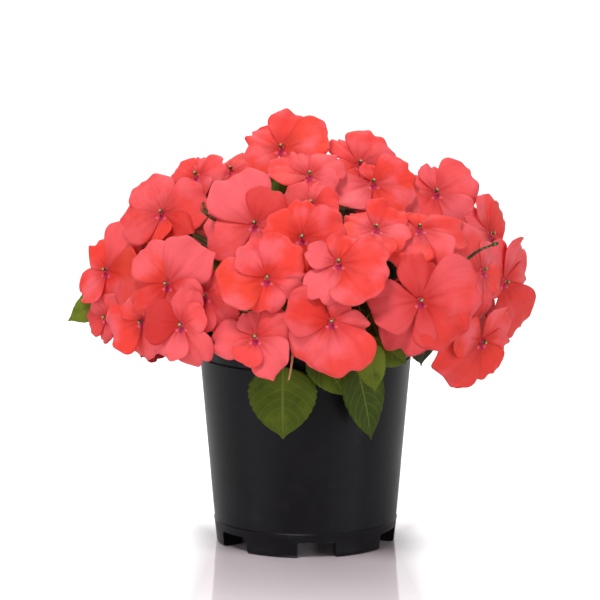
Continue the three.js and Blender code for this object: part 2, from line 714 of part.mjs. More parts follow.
/** A stem's joints, the one that suits a stalk to a target best first: near, below, not crowded. */
function jointsFor(index, target) {
  const cost = ({ place, carries }) => {
    const above = Math.max(0, place.z - target.z + 4);
    return place.distanceTo(target) + 2 * above + CROWDING_COST * carries;
  };
  return [...joints[index]].sort((one, other) => cost(one) - cost(other));
}

const pot = makePot();
const soil = makeSoil();
const stems = [];
for (let k = 0; k < STEMS; k += 1) {
  const main = stalk(smoothLine(stemLine(k), 6), STEM_RADIUS, 1.8, 6);
  const branch = stalk(smoothLine(branchLine(k), 4), 2.2, 1.5, 5);
  stems.push([main, branch]);
}

// Leaves go in first, each on a stalk that arches as high as it must over what is in its way, from
// the stem on the leaf's side or, where that gives no clear way, from a neighbour of it.
const LEAF_STALK_RADIUS = 1.2;
const STALK_GAP = 0.2;
const JOINTS_TRIED = 9;
const ARCHES = [0, 4, 8, 12, 17, 22];
const leaves = leafSeats().map((leaf) => {
  const blade = placed(makeLeaf(leaf.length, leaf.width), leafPose(leaf));
  return { ...leaf, blade };
});
const blades = leaves.map((leaf) => leaf.blade);

/** The numbers of the stem on a point's side and of its two neighbours. */
function stemsNear(point) {
  const own = stemFor(point);
  return [own, (own + 1) % STEMS, (own + STEMS - 1) % STEMS];
}

/** A stem's stalk to a leaf's base, from the best of its joints that gives it a clear way. */
function leafStalk({ base, along, normal, blade }, index) {
  const sunk = base.clone().addScaledVector(along, 1.5).addScaledVector(normal, -0.7);
  const approach = base.clone().addScaledVector(along, -7).addScaledVector(normal, -2);
  const others = [pot, soil, ...blades.filter((other) => other !== blade)];
  others.push(...stems.filter((_, k) => k !== index).flat());
  for (const joint of jointsFor(index, base).slice(0, JOINTS_TRIED)) {
    for (const arch of ARCHES) {
      const crown = joint.place.clone().lerp(approach, 0.6).add(vec(0, 0, arch));
      const solid = stalk([joint.place, crown, approach, sunk], LEAF_STALK_RADIUS, LEAF_STALK_RADIUS, 4);
      if (isClear(solid, others, STALK_GAP)) {
        joint.carries += 1;
        return solid;
      }
    }
  }
  return null;
}

leaves.forEach((leaf) => {
  for (const index of stemsNear(leaf.base)) {
    const solid = leafStalk(leaf, index);
    if (solid) {
      stems[index].push(solid, leaf.blade);
      return;
    }
  }
  throw new Error("a leaf has no clear way to a stem");
});

// Each bloom then takes the clear place that is nearest to its seat. It is tried as drawn and
// leaning a little towards the mound's own slope, and it may rise off the mound or sink into it.
const RISE_STEP = 0.5;
const MOST_SINK = 9;
const MOST_RISE = 40;
const NECK_ROOM = { radius: 1.4, length: 6 }; // kept free behind each bloom, for its stalk
const LEANS = [0, 0.3, 0.6];
const LEAN_COST = 20;
const TILTS = [[0, 0], [10, 0], [-10, 0], [0, 10], [0, -10]]; // degrees round the upright and across
const TILT_COST = 2;
const blooms = [];

/** The smallest rise or sink, within a limit, at which a bloom is clear of the others. */
function nearestRise(solid, bloom, others, limit) {
  const clearAt = (rise) => isClear(placed(solid, bloomPose(bloom, rise)), others);
  for (let rise = 0; rise <= limit; rise += RISE_STEP) {
    if (clearAt(rise)) return rise;
    if (rise <= MOST_SINK && clearAt(-rise)) return -rise;
  }
  return null;
}

const neckRoom = stalk(
  [vec(0, 0, -HUB_DEPTH / 2), vec(0, 0, -HUB_DEPTH - NECK_ROOM.length)],
  NECK_ROOM.radius,
  NECK_ROOM.radius,
  3,
);
bloomSeats().forEach((bloom, n) => {
  const shape = makeBloom(n, bloom.petals, bloom.cup);
  const claim = shape.add(neckRoom);
  const others = [pot, ...stems.flat(), ...blooms.map((other) => other.claim)];
  const tilts = bloom.seats.length > 1 ? TILTS.slice(0, 1) : TILTS;
  let best = { cost: MOST_RISE };
  bloom.seats.forEach((seat) => {
    LEANS.forEach((lean) => {
      tilts.forEach(([round, across], k) => {
        const normal = bloom.normal.clone().lerp(moundNormal(seat), lean).normalize();
        normal.applyAxisAngle(levelAcross(normal), radians(across));
        normal.applyAxisAngle(vec(0, 0, 1), radians(round));
        const leaning = { ...bloom, seat, normal };
        const extra = LEAN_COST * lean + (k > 0 ? TILT_COST : 0);
        const rise = nearestRise(claim, leaning, others, best.cost - extra - RISE_STEP);
        if (rise !== null) best = { ...leaning, rise, cost: Math.abs(rise) + extra };
      });
    });
  });
  const pose = bloomPose(best, best.rise);
  blooms.push({ ...best, pose, solid: placed(shape, pose), claim: placed(claim, pose) });
});

// A flower stalk leaves the back of its bloom or bud, goes round what is in its way, and joins its
// stem. Routes are tried from the straightest to the widest detour.
const FLOWER_STALK_RADIUS = 0.95;
const STALK_END_RADIUS = 1.2;
const STALK_NECK = 2; // length of the straight piece behind the flower
const STALK_DETOURS = [4, 7, 11, 15, 19, 23, 28];
const DETOUR_DIRECTIONS = 12;
const KNEE_DEPTHS = [3.5, 7, 12];

/** A flower stalk to a stem from the point at depth behind a flower that has the given pose. */
function flowerStalk(pose, depth, index) {
  const local = (x, y, z) => vec(x, y, z).applyMatrix4(pose);
  const back = local(0, 0, -depth);
  const neck = local(0, 0, -depth - STALK_NECK);
  const others = [pot, soil, ...blades, ...blooms.map((bloom) => bloom.solid)];
  stems.forEach((pieces, k) => {
    if (k !== index) others.push(...pieces);
  });
  const knees = STALK_DETOURS.flatMap((reach) =>
    KNEE_DEPTHS.flatMap((kneeDepth) =>
      Array.from({ length: DETOUR_DIRECTIONS }, (_, d) => {
        const angle = (d / DETOUR_DIRECTIONS) * 2 * Math.PI;
        const below = -depth - kneeDepth - reach / 4;
        return [local(reach * Math.cos(angle), reach * Math.sin(angle), below)];
      }),
    ),
  );
  for (const joint of jointsFor(index, back).slice(0, JOINTS_TRIED)) {
    for (const knee of [[], ...knees]) {
      const line = [back, neck, ...knee, joint.place];
      const solid = stalk(line, FLOWER_STALK_RADIUS, STALK_END_RADIUS, 3);
      if (isClear(solid, others, STALK_GAP)) {
        joint.carries += 1;
        return solid;
      }
    }
  }
  return null;
}

/** Grows a flower's stalk from the stem on its side, or from a neighbour of it, and says which. */
function growStalk(pose, depth, seat) {
  for (const index of stemsNear(seat)) {
    const solid = flowerStalk(pose, depth, index);
    if (solid) {
      stems[index].push(solid);
      return index;
    }
  }
  return null;
}

blooms.forEach((bloom) => growStalk(bloom.pose, HUB_DEPTH + GAP, bloom.seat));

// Buds stand in the gaps between the blooms: their place across and up as for a front bloom, or
// their direction and height on the mound, and the way they point.
const BUD_LENGTH = 8;
const BUD_RADIUS = 2.5;
const BUD_SIDES = 5;
const LEAST_BUD_RISE = -16;
const BUDS = [
  { seat: moundPoint(-6, 113), turn: 0, lift: -20 },
  { seat: moundPoint(99, 160), turn: 60, lift: 30 },
  { seat: moundPoint(-55, 180), turn: -30, lift: 60 },
  ...[130, 180].map((turn) => ({ seat: onMound(turn, 12), turn, lift: 20 })),
];

function makeBud() {
  const half = BUD_LENGTH / 2;
  const profile = [
    [0, -half],
    [BUD_RADIUS * 0.8, -half * 0.5],
    [BUD_RADIUS, half * 0.1],
    [0, half],
  ];
  return turned(profile, BUD_SIDES);
}

BUDS.forEach((bud) => {
  const shape = makeBud();
  const others = [pot, soil, ...stems.flat(), ...blooms.map((bloom) => bloom.solid)];
  const normal = facing(bud.turn, bud.lift);
  const poseAt = (rise) => bloomPose({ seat: bud.seat, normal, roll: 0 }, rise);
  let rise = 0;
  while (rise > LEAST_BUD_RISE && !isClear(placed(shape, poseAt(rise)), others)) rise -= 1;
  if (rise <= LEAST_BUD_RISE) return; // no gap between the blooms here
  const index = growStalk(poseAt(rise), BUD_LENGTH / 2 - 1, bud.seat);
  if (index !== null) stems[index].push(placed(shape, poseAt(rise)));
});

// ---- The group ----------------------------------------------------------------------------

const finish = (color, roughness) => new THREE.MeshStandardMaterial({ color, roughness });
const BLACK_PLASTIC = finish(0x1e1e21, 0.45);
const PEAT = finish(0x3a2c22, 0.95);
const LEAF_GREEN = finish(0x40591f, 0.6);
const CORAL_PETAL = finish(0xfa5a55, 0.6);

const MERGE_TOLERANCE = 0.1; // edges shorter than this, left where stalks join, are closed up
const group = new THREE.Group();
function add(name, solid, material) {
  const mesh = new THREE.Mesh(geometryOf(solid), material);
  mesh.name = name;
  group.add(mesh);
}

const whole = new THREE.Box3();
[pot, ...stems.flat(), ...blooms.map((bloom) => bloom.solid)].forEach((solid) => {
  const { min, max } = solid.boundingBox();
  whole.union(new THREE.Box3(vec(...min), vec(...max)));
});
const middle = whole.getCenter(vec(0, 0, 0));
group.position.set(-middle.x, -middle.y, 0);

add("pot", pot, BLACK_PLASTIC);
add("growing_medium", soil, PEAT);
stems.forEach((pieces, k) => {
  add(`leafy_stem_${k + 1}`, wasm.Manifold.union(pieces).simplify(MERGE_TOLERANCE), LEAF_GREEN);
});
blooms.forEach((bloom, n) => {
  add(`bloom_${String(n + 1).padStart(2, "0")}`, bloom.solid, CORAL_PETAL);
});

export default group;
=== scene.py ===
# %% [markdown]
# # A busy lizzie in full flower, in its black nursery pot
#
# This notebook dresses a plain CAD model of the plant. The CAD model already says where each
# bloom, leafy stem and the pot are, so nothing is fitted by eye here: each fine piece is grown on
# the place and the slope of the plain solid that it stands for.
#
# We start by loading that model. It comes in metres, with +Z up and the front of the plant at -Y.

# %% Load the frame
import math

import bmesh
import bpy
import numpy as np
from mathutils import Matrix, Vector
from mathutils.bvhtree import BVHTree


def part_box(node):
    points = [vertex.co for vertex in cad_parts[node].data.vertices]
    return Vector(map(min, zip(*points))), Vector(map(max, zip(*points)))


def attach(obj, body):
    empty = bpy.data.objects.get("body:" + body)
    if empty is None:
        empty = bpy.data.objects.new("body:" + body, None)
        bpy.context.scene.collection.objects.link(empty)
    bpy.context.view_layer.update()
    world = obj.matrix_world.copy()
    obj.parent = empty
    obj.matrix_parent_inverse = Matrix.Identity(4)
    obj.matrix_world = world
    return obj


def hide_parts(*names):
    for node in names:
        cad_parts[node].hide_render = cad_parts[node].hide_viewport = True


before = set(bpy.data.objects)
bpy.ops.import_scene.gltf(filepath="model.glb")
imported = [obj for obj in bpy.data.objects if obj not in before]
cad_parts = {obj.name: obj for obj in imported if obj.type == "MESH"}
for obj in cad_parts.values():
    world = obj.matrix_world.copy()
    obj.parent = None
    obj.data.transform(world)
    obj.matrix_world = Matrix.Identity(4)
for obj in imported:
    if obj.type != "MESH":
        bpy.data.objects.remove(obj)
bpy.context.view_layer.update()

# %% [markdown]
# Most of the modelling is done with Blender's own operators. `bmesh` and `BVHTree` read the plain
# solids, and `numpy` moves thousands of petal points at once.

# %% [markdown]
# ## Driving sizes
#
# The plant is laid out round the pot's axis. The whole model was moved a little so that its box is
# centred on the origin, so the axis is found again from the pot's own box. Real sizes are easiest
# to read in millimetres, so `MM` turns them into metres.

# %% Driving sizes
MM = 0.001
pot_low, pot_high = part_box("pot")
POT_AXIS = Vector(((pot_low.x + pot_high.x) / 2, (pot_low.y + pot_high.y) / 2, 0))
POT_HEIGHT = pot_high.z
BLOOM_NODES = sorted(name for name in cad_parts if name.startswith("bloom_"))
STEM_NODES = sorted(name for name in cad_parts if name.startswith("leafy_stem_"))
print(f"{len(BLOOM_NODES)} blooms on {len(STEM_NODES)} leafy stems, pot axis at "
      f"{POT_AXIS.x / MM:.1f}, {POT_AXIS.y / MM:.1f} mm")


def spread(n, channel=0):
    """An even spread of values from 0 to 1 for n = 0, 1, 2...: steps of the golden ratio."""
    return ((n + 1) * 0.618034 + channel * 0.377) % 1


def facing(turn, lift):
    """A unit vector that points turn degrees to the right of the front and lift degrees up."""
    t = math.radians(turn)
    up = math.radians(lift)
    return Vector((math.sin(t) * math.cos(up), -math.cos(t) * math.cos(up), math.sin(up)))

# %% [markdown]
# ## Small tools
#
# Operators act on whatever is selected, so each step first says exactly what it works on. These
# few helpers keep that out of the way: select, join, apply a modifier, and hand a finished piece
# over.

# %% Small tools
def select_only(*pieces):
    """Selects these pieces and nothing else; the first one is active."""
    bpy.ops.object.select_all(action="DESELECT")
    for piece in pieces:
        piece.select_set(True)
    bpy.context.view_layer.objects.active = pieces[0]


def joined(pieces, name):
    """Joins pieces into one object with that name."""
    select_only(*pieces)
    if len(pieces) > 1:
        bpy.ops.object.join()
    piece = bpy.context.object
    piece.name = name
    piece.data.name = name
    return piece


def apply_modifier(piece, kind, **settings):
    """Adds a modifier with these settings and applies it."""
    select_only(piece)
    modifier = piece.modifiers.new(kind.title(), kind)
    for key, value in settings.items():
        setattr(modifier, key, value)
    bpy.ops.object.modifier_apply(modifier=modifier.name)


def hand_over(piece, slot, *nodes, material=None, angle=180):
    """Smooths a finished piece, gives it its material, puts it on the root and hides its CAD nodes.
    """
    select_only(piece)
    bpy.ops.object.transform_apply(location=True, rotation=True, scale=True)
    bpy.ops.object.shade_smooth_by_angle(angle=math.radians(angle))
    if material:
        piece.data.materials.clear()
        piece.data.materials.append(material)
    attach(piece, "root")
    if nodes:
        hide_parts(*nodes)
    return piece


print("every piece will ride on the body root")

# %% [markdown]
# ## A short way to write materials
#
# A procedural material is a small network of nodes. Written out link by link it is long, so
# `Recipe` adds one node at a time: an input is a number, a colour or the output of an earlier
# node. A few kinds of node serve every finish here. `fade` makes a soft edge, `noise` makes clouds
# and specks, and `over` lays one colour over another.

# %% Recipe for materials
class Recipe:
    """A material's nodes, added one at a time onto a Principled shader."""

    def __init__(self, name):
        self.material = bpy.data.materials.new(name)
        self.material.use_nodes = True
        self.tree = self.material.node_tree
        self.shader = self.tree.nodes["Principled BSDF"]

    def put(self, socket, value):
        """Links an earlier output to a socket, or writes a number or a colour into it."""
        if isinstance(value, bpy.types.NodeSocket):
            self.tree.links.new(value, socket)
        elif socket.type == "RGBA" and len(value) == 3:
            socket.default_value = (*value, 1)
        else:
            socket.default_value = value

    def node(self, kind, output=0, settings=None, **inputs):
        """Adds a node with these inputs, found by their names, and returns one output of it."""
        node = self.tree.nodes.new(kind)
        for key, value in (settings or {}).items():
            setattr(node, key, value)
        for key, value in inputs.items():
            self.put(node.inputs[key.replace("_", " ")], value)
        return node.outputs[output]

    def pair(self, kind, operation, a, b, output=0):
        """Adds a node that works on two values, which have no names of their own."""
        node = self.tree.nodes.new(kind)
        node.operation = operation
        self.put(node.inputs[0], a)
        self.put(node.inputs[1], b)
        return node.outputs[output]

    def math(self, operation, a, b=0.0):
        return self.pair("ShaderNodeMath", operation, a, b)

    def plus(self, a, b):
        return self.math("ADD", a, b)

    def times(self, a, b):
        return self.math("MULTIPLY", a, b)

    def away(self, value, middle):
        """How far a value is from a middle one, on either side."""
        return self.math("ABSOLUTE", self.math("SUBTRACT", value, middle))

    def fade(self, value, start, end):
        """0 up to start, 1 from end on, with a soft step between; start may lie above end."""
        rises = start < end
        low, high = sorted((start, end))
        return self.node("ShaderNodeMapRange", settings={"interpolation_type": "SMOOTHSTEP"},
                         Value=value, From_Min=low, From_Max=high,
                         To_Min=0.0 if rises else 1.0, To_Max=1.0 if rises else 0.0)

    def over(self, colour, mask, other, share=1.0):
        """Lays another colour over this one where the mask is 1, by that share."""
        node = self.tree.nodes.new("ShaderNodeMix")
        node.data_type = "RGBA"
        self.put(node.inputs[0], mask if share == 1.0 else self.times(mask, share))
        self.put(node.inputs[6], colour)
        self.put(node.inputs[7], other)
        return node.outputs[2]

    def noise(self, scale, vector, detail=2.0):
        """Soft random spots, about that many in a metre of the piece, or for each 1 in vector."""
        return self.node("ShaderNodeTexNoise", Vector=vector, Scale=scale, Detail=detail)

    def place(self):
        """Where on the piece a point is, in metres."""
        return self.node("ShaderNodeTexCoord", output="Object")

    def across_and_along(self):
        """The two numbers of the piece's own UV map."""
        uv = self.node("ShaderNodeTexCoord", output="UV")
        split = self.tree.nodes.new("ShaderNodeSeparateXYZ")
        self.put(split.inputs[0], uv)
        return split.outputs[0], split.outputs[1]

    def attribute(self, name):
        return self.node("ShaderNodeAttribute", output="Fac", settings={"attribute_name": name})

    def bump(self, height, distance, strength=1.0):
        dents = self.node("ShaderNodeBump", Height=height, Distance=distance, Strength=strength)
        self.put(self.shader.inputs["Normal"], dents)

    def finish(self, **sockets):
        """Fills the shader's own inputs, found by their names, and returns the material."""
        for key, value in sockets.items():
            self.put(self.shader.inputs[key.replace("_", " ")], value)
        return self.material


print("a recipe knows", [name for name in vars(Recipe) if not name.startswith("_")])

# %% [markdown]
# ## Petal colour
#
# A petal is coral red with a velvety surface. It glows a little, because light goes into it and
# comes out again beside the spot, so the shader gets some subsurface scattering. Its colour isn't
# even: dark creases run out of the throat, fine veins fan out to the edge, and the edge is a
# little lighter. Those follow the petal, so they read its own UV map, where U goes across the
# petal and V from the throat to the tip. Four attributes hold what each petal has of its own:
# `tint` says how pink it is, with painted light on petals that lie in the light, one more holds
# the painted shade on petals that lie in shade, and `beside` and `below` measure millimetres
# from the bloom's eye.

# %% Coral reds and the ground of a petal
CORAL = (0.86, 0.054, 0.040)
CORAL_PINK = (0.89, 0.122, 0.138)
CORAL_ORANGE = (0.85, 0.070, 0.033)
# The dark red of veins and creases, also laid on as painted shade on petals and in bud folds.
CREASE_AND_SHADE_RED = (0.50, 0.014, 0.010)


def petal_ground(recipe, tint, clouds):
    """Coral, pinker or more orange from petal to petal, with pink clouds. Pinker lit petals are
    painted light.
    """
    colour = recipe.over(CORAL, recipe.fade(tint, 0.35, 1.0), CORAL_PINK)
    colour = recipe.over(colour, recipe.fade(tint, 0.3, 0.0), CORAL_ORANGE)
    return recipe.over(colour, recipe.fade(clouds, 0.42, 0.68), CORAL_PINK)


def fan_of_veins(recipe, across, along, veins_across, waves_along, own):
    """Veins that fan out from the throat: a noise long along the petal and short across it."""
    fan = recipe.node("ShaderNodeCombineXYZ", X=recipe.times(across, veins_across),
                      Y=recipe.times(along, waves_along), Z=own)
    return recipe.noise(1.0, fan)


print("petals go from", CORAL_ORANGE, "to", CORAL_PINK)

# %% [markdown]
# The creases are drawn from the distance to the petal's middle line, so they are as long as the
# petal is, however it bends. Red shade and light rim are soft steps along the petal.

# %% Creases, edge and throat
MIDDLE_CREASE = 0.5
SIDE_CREASE = 0.22
SIDE_CREASE_PLACE = 0.24
CREASE_HALF_WIDTH = 0.08
THROAT_SHADE = 0.6
EDGE_LIGHT = 0.35


def petal_creases(recipe, colour, across, along):
    """A crease down the middle and one on each side of it, all darkest near the throat."""
    middle = recipe.away(across, 0.5)
    aside = recipe.away(middle, SIDE_CREASE_PLACE)
    in_middle = recipe.times(recipe.fade(middle, CREASE_HALF_WIDTH, 0.0), MIDDLE_CREASE)
    at_side = recipe.times(recipe.fade(aside, CREASE_HALF_WIDTH, 0.0), SIDE_CREASE)
    crease = recipe.times(recipe.plus(in_middle, at_side), recipe.fade(along, 0.62, 0.08))
    colour = recipe.over(colour, crease, CREASE_AND_SHADE_RED)
    colour = recipe.over(colour, recipe.fade(along, 0.5, 0.06), CREASE_AND_SHADE_RED, THROAT_SHADE)
    return recipe.over(colour, recipe.fade(along, 0.9, 1.0), CORAL_PINK, EDGE_LIGHT)


print("crease shares:", MIDDLE_CREASE, "and", SIDE_CREASE)

# %% [markdown]
# The eye is no part of any one petal: it is a magenta spot just below the bead, with a pink fleck
# on each side of it. So its spots are placed by their distance from the bloom's axis, in
# millimetres.

# %% The eye
MAGENTA = (0.42, 0.014, 0.10)
FLECK_PINK = (0.95, 0.17, 0.26)
EYE_SPOTS = [
    {"colour": FLECK_PINK, "beside": 2.2, "below": 3.3, "size": (1.1, 0.9), "share": 0.5},
    {"colour": MAGENTA, "beside": 0.0, "below": 2.6, "size": (1.9, 2.5), "share": 0.7},
]


def petal_eye(recipe, colour, veins):
    """Soft oval spots whose edges are frayed by the veins."""
    beside = recipe.math("ABSOLUTE", recipe.attribute("beside"))
    below = recipe.attribute("below")
    for spot in EYE_SPOTS:
        wide, tall = spot["size"]
        x = recipe.math("DIVIDE", recipe.math("SUBTRACT", beside, spot["beside"]), wide)
        y = recipe.math("DIVIDE", recipe.math("SUBTRACT", below, spot["below"]), tall)
        off = recipe.plus(recipe.times(x, x), recipe.times(y, y))
        mask = recipe.fade(recipe.plus(off, recipe.times(veins, 0.8)), 1.7, 0.7)
        colour = recipe.over(colour, mask, spot["colour"], spot["share"])
    return colour


print(len(EYE_SPOTS), "spots in the eye")

# %% [markdown]
# All of that is laid over each other in the order in which a painter would do it: ground, veins,
# creases, the painted shade of petals that lie in shade, and the eye last. The velvet comes from
# tiny bumps and a weak gloss.

# %% The front of a petal
FRONT_VEINS = 0.13


def petal_material():
    recipe = Recipe("coral_petal")
    across, along = recipe.across_and_along()
    place = recipe.place()
    tint = recipe.attribute("tint")
    clouds = recipe.noise(55.0, place, 3.0)
    veins = fan_of_veins(recipe, across, along, 26.0, 1.6, recipe.times(tint, 40.0))
    colour = petal_ground(recipe, tint, clouds)
    colour = recipe.over(colour, recipe.fade(veins, 0.5, 0.75), CREASE_AND_SHADE_RED, FRONT_VEINS)
    colour = petal_creases(recipe, colour, across, along)
    # Painted shade: petals that lie in shade get a dark red laid over them.
    colour = recipe.over(colour, recipe.attribute("deep"), CREASE_AND_SHADE_RED)
    colour = petal_eye(recipe, colour, veins)
    cells = recipe.noise(2600.0, place, 1.0)
    height = recipe.plus(recipe.times(cells, 0.12), recipe.times(veins, 0.6))
    recipe.bump(height, 0.4 * MM, 0.6)
    rough = recipe.plus(recipe.times(clouds, 0.2), 0.42)
    return recipe.finish(Base_Color=colour, Roughness=rough, Specular_IOR_Level=0.12,
                         Subsurface_Weight=0.12, Subsurface_Radius=(0.0018, 0.0004, 0.0003),
                         Subsurface_Scale=1.0)


PETAL = petal_material()
print(PETAL.name, "has", len(PETAL.node_tree.nodes), "nodes")

# %% [markdown]
# The underside of a petal is paler and duller, with its veins standing out. It gets a material of
# its own, because many petals show it where they curl.

# %% The back of a petal
BACK_PINK = (0.80, 0.105, 0.115)
BACK_VEINS = 0.2


def petal_back_material():
    recipe = Recipe("pale_petal_back")
    across, along = recipe.across_and_along()
    veins = fan_of_veins(recipe, across, along, 20.0, 1.4, 0.0)
    clouds = recipe.noise(60.0, recipe.place(), 3.0)
    colour = recipe.over(CORAL, recipe.fade(clouds, 0.4, 0.7), BACK_PINK)
    colour = recipe.over(colour, recipe.fade(veins, 0.5, 0.7), CREASE_AND_SHADE_RED, BACK_VEINS)
    recipe.bump(veins, 0.2 * MM, 0.5)
    return recipe.finish(Base_Color=colour, Roughness=0.6, Specular_IOR_Level=0.25,
                         Subsurface_Weight=0.2, Subsurface_Radius=(0.0022, 0.0006, 0.0005),
                         Subsurface_Scale=1.0)


PETAL_BACK = petal_back_material()
print(PETAL_BACK.name, "has", len(PETAL_BACK.node_tree.nodes), "nodes")

# %% [markdown]
# ## Reading the blooms
#
# Each bloom's CAD node is one plain solid: a little column on the axis in front, a hub point on
# the axis behind, and five petals round them. Those two points are the only ones where ten
# triangles meet, so they give the bloom's place and the way it faces. The ring of the hub then
# says where each petal grows, and the notch at each tip says how long the petal is and how far it
# bends.

# %% The plain blooms
COLUMN_HEIGHT = 3.4 * MM
HUB_DEPTH = 2.6 * MM
HUB_RADIUS = 2.2 * MM
HUB_HALF_ANGLE = math.radians(25)
HUB_TWIST = 0.75 * MM
PETALS = 5
NOTCH = 0.9  # where the notch at a plain petal's tip lies, in parts of its length
ARCH = 0.04  # how far a plain petal swells, in parts of its length
MERGE = 0.02 * MM
CLOSE = 0.2 * MM  # points this close to a known radius or line lie on it


def merged_shape(node):
    """A bmesh copy of a CAD node with its loose triangles joined. The node itself is left alone."""
    shape = bmesh.new()
    shape.from_mesh(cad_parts[node].data)
    bmesh.ops.remove_doubles(shape, verts=shape.verts, dist=MERGE)
    return shape


def bloom_axes(points, ends):
    """The bloom's centre and its three directions, from its points and the two ends of its axis."""
    axis = (ends[1] - ends[0]).normalized()
    from_end = points - np.array(ends[0])
    heights = from_end @ np.array(axis)
    radii = np.linalg.norm(from_end - heights[:, None] * np.array(axis), axis=1)
    ring_height = heights[abs(radii - HUB_RADIUS) < CLOSE].mean()
    if ring_height > (COLUMN_HEIGHT + HUB_DEPTH) / 2:
        tip, normal = ends[0], -axis
    else:
        tip, normal = ends[1], axis
    sideways = normal.orthogonal().normalized()
    return tip - normal * COLUMN_HEIGHT, sideways, normal.cross(sideways), normal


print(f"a plain bloom's axis is {(COLUMN_HEIGHT + HUB_DEPTH) / MM:.1f} mm long")

# %% [markdown]
# A petal is read along its own line, in the bloom's pose: the farthest point on the line is the
# notch, and its height there tells the bend.

# %% Read the blooms
def read_petal(local, angle):
    """The length of the petal that grows at this angle, and how far its tip bends."""
    out = local[:, 0] * math.cos(angle) + local[:, 1] * math.sin(angle)
    across = local[:, 1] * math.cos(angle) - local[:, 0] * math.sin(angle)
    line = (abs(across) < CLOSE) & (out > 2 * HUB_RADIUS)
    far = out[line].max()
    reach = far / NOTCH
    face = local[:, 2][line][out[line] > far - CLOSE / 2].max()
    return reach, (face / reach - ARCH * math.sin(math.pi * NOTCH)) / NOTCH ** 2


def read_bloom(node):
    """A bloom's pose, and for each petal its direction, its length and how far its tip bends."""
    shape = merged_shape(node)
    ends = [Vector(v.co) for v in shape.verts if len(v.link_faces) == 2 * PETALS]
    points = np.array([v.co for v in shape.verts])
    shape.free()
    centre, *axes = bloom_axes(points, ends)
    local = (points - np.array(centre)) @ np.array(axes).T
    on_hub = abs(np.hypot(local[:, 0], local[:, 1]) - HUB_RADIUS) < CLOSE
    high_ring = on_hub & (abs(local[:, 2] - HUB_TWIST) < CLOSE)
    angles = [math.atan2(y, x) - HUB_HALF_ANGLE for x, y, _ in local[high_ring]]
    pose = Matrix(axes).transposed().to_4x4()
    pose.translation = centre
    return pose, [(angle, *read_petal(local, angle)) for angle in angles]


blooms = {node: read_bloom(node) for node in BLOOM_NODES}
reaches = [reach for _, petals in blooms.values() for _, reach, _ in petals]
print(f"{len(reaches)} petals, {min(reaches) / MM:.0f} to {max(reaches) / MM:.0f} mm long")

# %% [markdown]
# ## The petals
#
# A busy lizzie's petal is a broad heart: narrow where it leaves the throat, widest past its
# middle, with two round lobes and a notch between them. It could be cut out of a flat sheet, but
# then its edge would be stepped. Instead a grid is bent into the heart, so that its rows fan out
# with the petal and its edge stays smooth. Five grids in one mesh are modelled once, and each
# bloom gets its own copy, shaped by its own five lengths and bends.

# %% Five flat sheets
COLUMNS = 20
ROWS = 18


def copy_of(piece):
    """A copy with a mesh of its own."""
    copy = piece.copy()
    copy.data = piece.data.copy()
    bpy.context.collection.objects.link(copy)
    return copy


def flat_sheet(columns, rows, height=0):
    """A grid from -1 to 1 that is to be bent: X will go across the piece, and Y along it."""
    bpy.ops.mesh.primitive_grid_add(x_subdivisions=columns, y_subdivisions=rows, size=2,
                                    calc_uvs=True, location=(0, 0, height))
    bpy.ops.object.transform_apply(location=True)
    return bpy.context.object


def across_and_along(points):
    """From -1 to 1 across each point of a flat sheet, and from 0 to 1 along it."""
    return points[:, 0], (points[:, 1] + 1) / 2


flat_bloom = joined([flat_sheet(COLUMNS, ROWS, petal) for petal in range(PETALS)], "five_sheets")
flat = np.array([v.co for v in flat_bloom.data.vertices])
SHEET_ACROSS, SHEET_ALONG = across_and_along(flat)
SHEET_PETAL = np.rint(flat[:, 2]).astype(int)
print(len(flat), "points in five sheets")

# %% [markdown]
# No two petals are quite the same. What they differ in is kept in one table: each trait goes
# evenly from a least value to that value and `more`, and `spread` deals the values out. Lengths
# are in parts of the petal's length, so that large and small petals have one form.

# %% What petals differ in
FULL_TURN = 2 * math.pi
PETAL_TRAITS = {  # name: (least, more, channel of the spread)
    "width": (0.95, 0.27, 17),
    "lean": (-0.08, 0.16, 18),
    "notch": (0.015, 0.06, 11),
    "corner": (-0.55, 1, 21),
    "corner place": (0.5, 0.35, 22),
    "corner side": (-0.5, 1, 23),
    "rim phase": (0, FULL_TURN, 24),
    "bend": (-0.165, 0.3, 25),
    "twist": (-0.064, 0.16, 26),
    "ruffle": (0.03, 0.035, 10),
    "broad phase": (0, FULL_TURN, 7),
    "fine phase": (0, FULL_TURN, 8),
    "long phase": (0, FULL_TURN, 9),
    "roll": (-0.55, 1, 19),
    "roll side": (-0.5, 1, 20),
}


def trait(name, n):
    """How much petal n has of this trait."""
    least, more, channel = PETAL_TRAITS[name]
    return least + more * spread(n, channel)


print("the first petals' widths:", [round(trait("width", n), 2) for n in range(PETALS)])

# %% [markdown]
# The heart is drawn by two curves: how wide the petal is at each place along it, and how far out
# its rim lies at each place across it. Some petals also have a drawn-out corner beside the notch.

# %% The outline of a petal
THROAT_HALF_WIDTH = 0.09
SHOULDER = 0.68  # where the petal is widest
RIM_NARROWING = 0.13
RIM = 0.975
LOBE_DROP = 0.15
NOTCH_WIDTH = 0.2
CORNER_WIDTH = 0.16
CORNER_GROWTH = 0.22
RIM_WAVES = 8  # radians across half a petal
RIM_WAVE_HEIGHT = 0.012


def petal_width(t, wide):
    """Half the width of a petal, from the throat, 0, to the rim, 1."""
    opening = np.sin(math.pi / 2 * np.clip(t / SHOULDER, 0, 1)) ** 1.15
    growing = THROAT_HALF_WIDTH + (0.5 * wide - THROAT_HALF_WIDTH) * opening
    return growing - RIM_NARROWING * np.clip((t - SHOULDER) / (1 - SHOULDER), 0, 1) ** 2.2


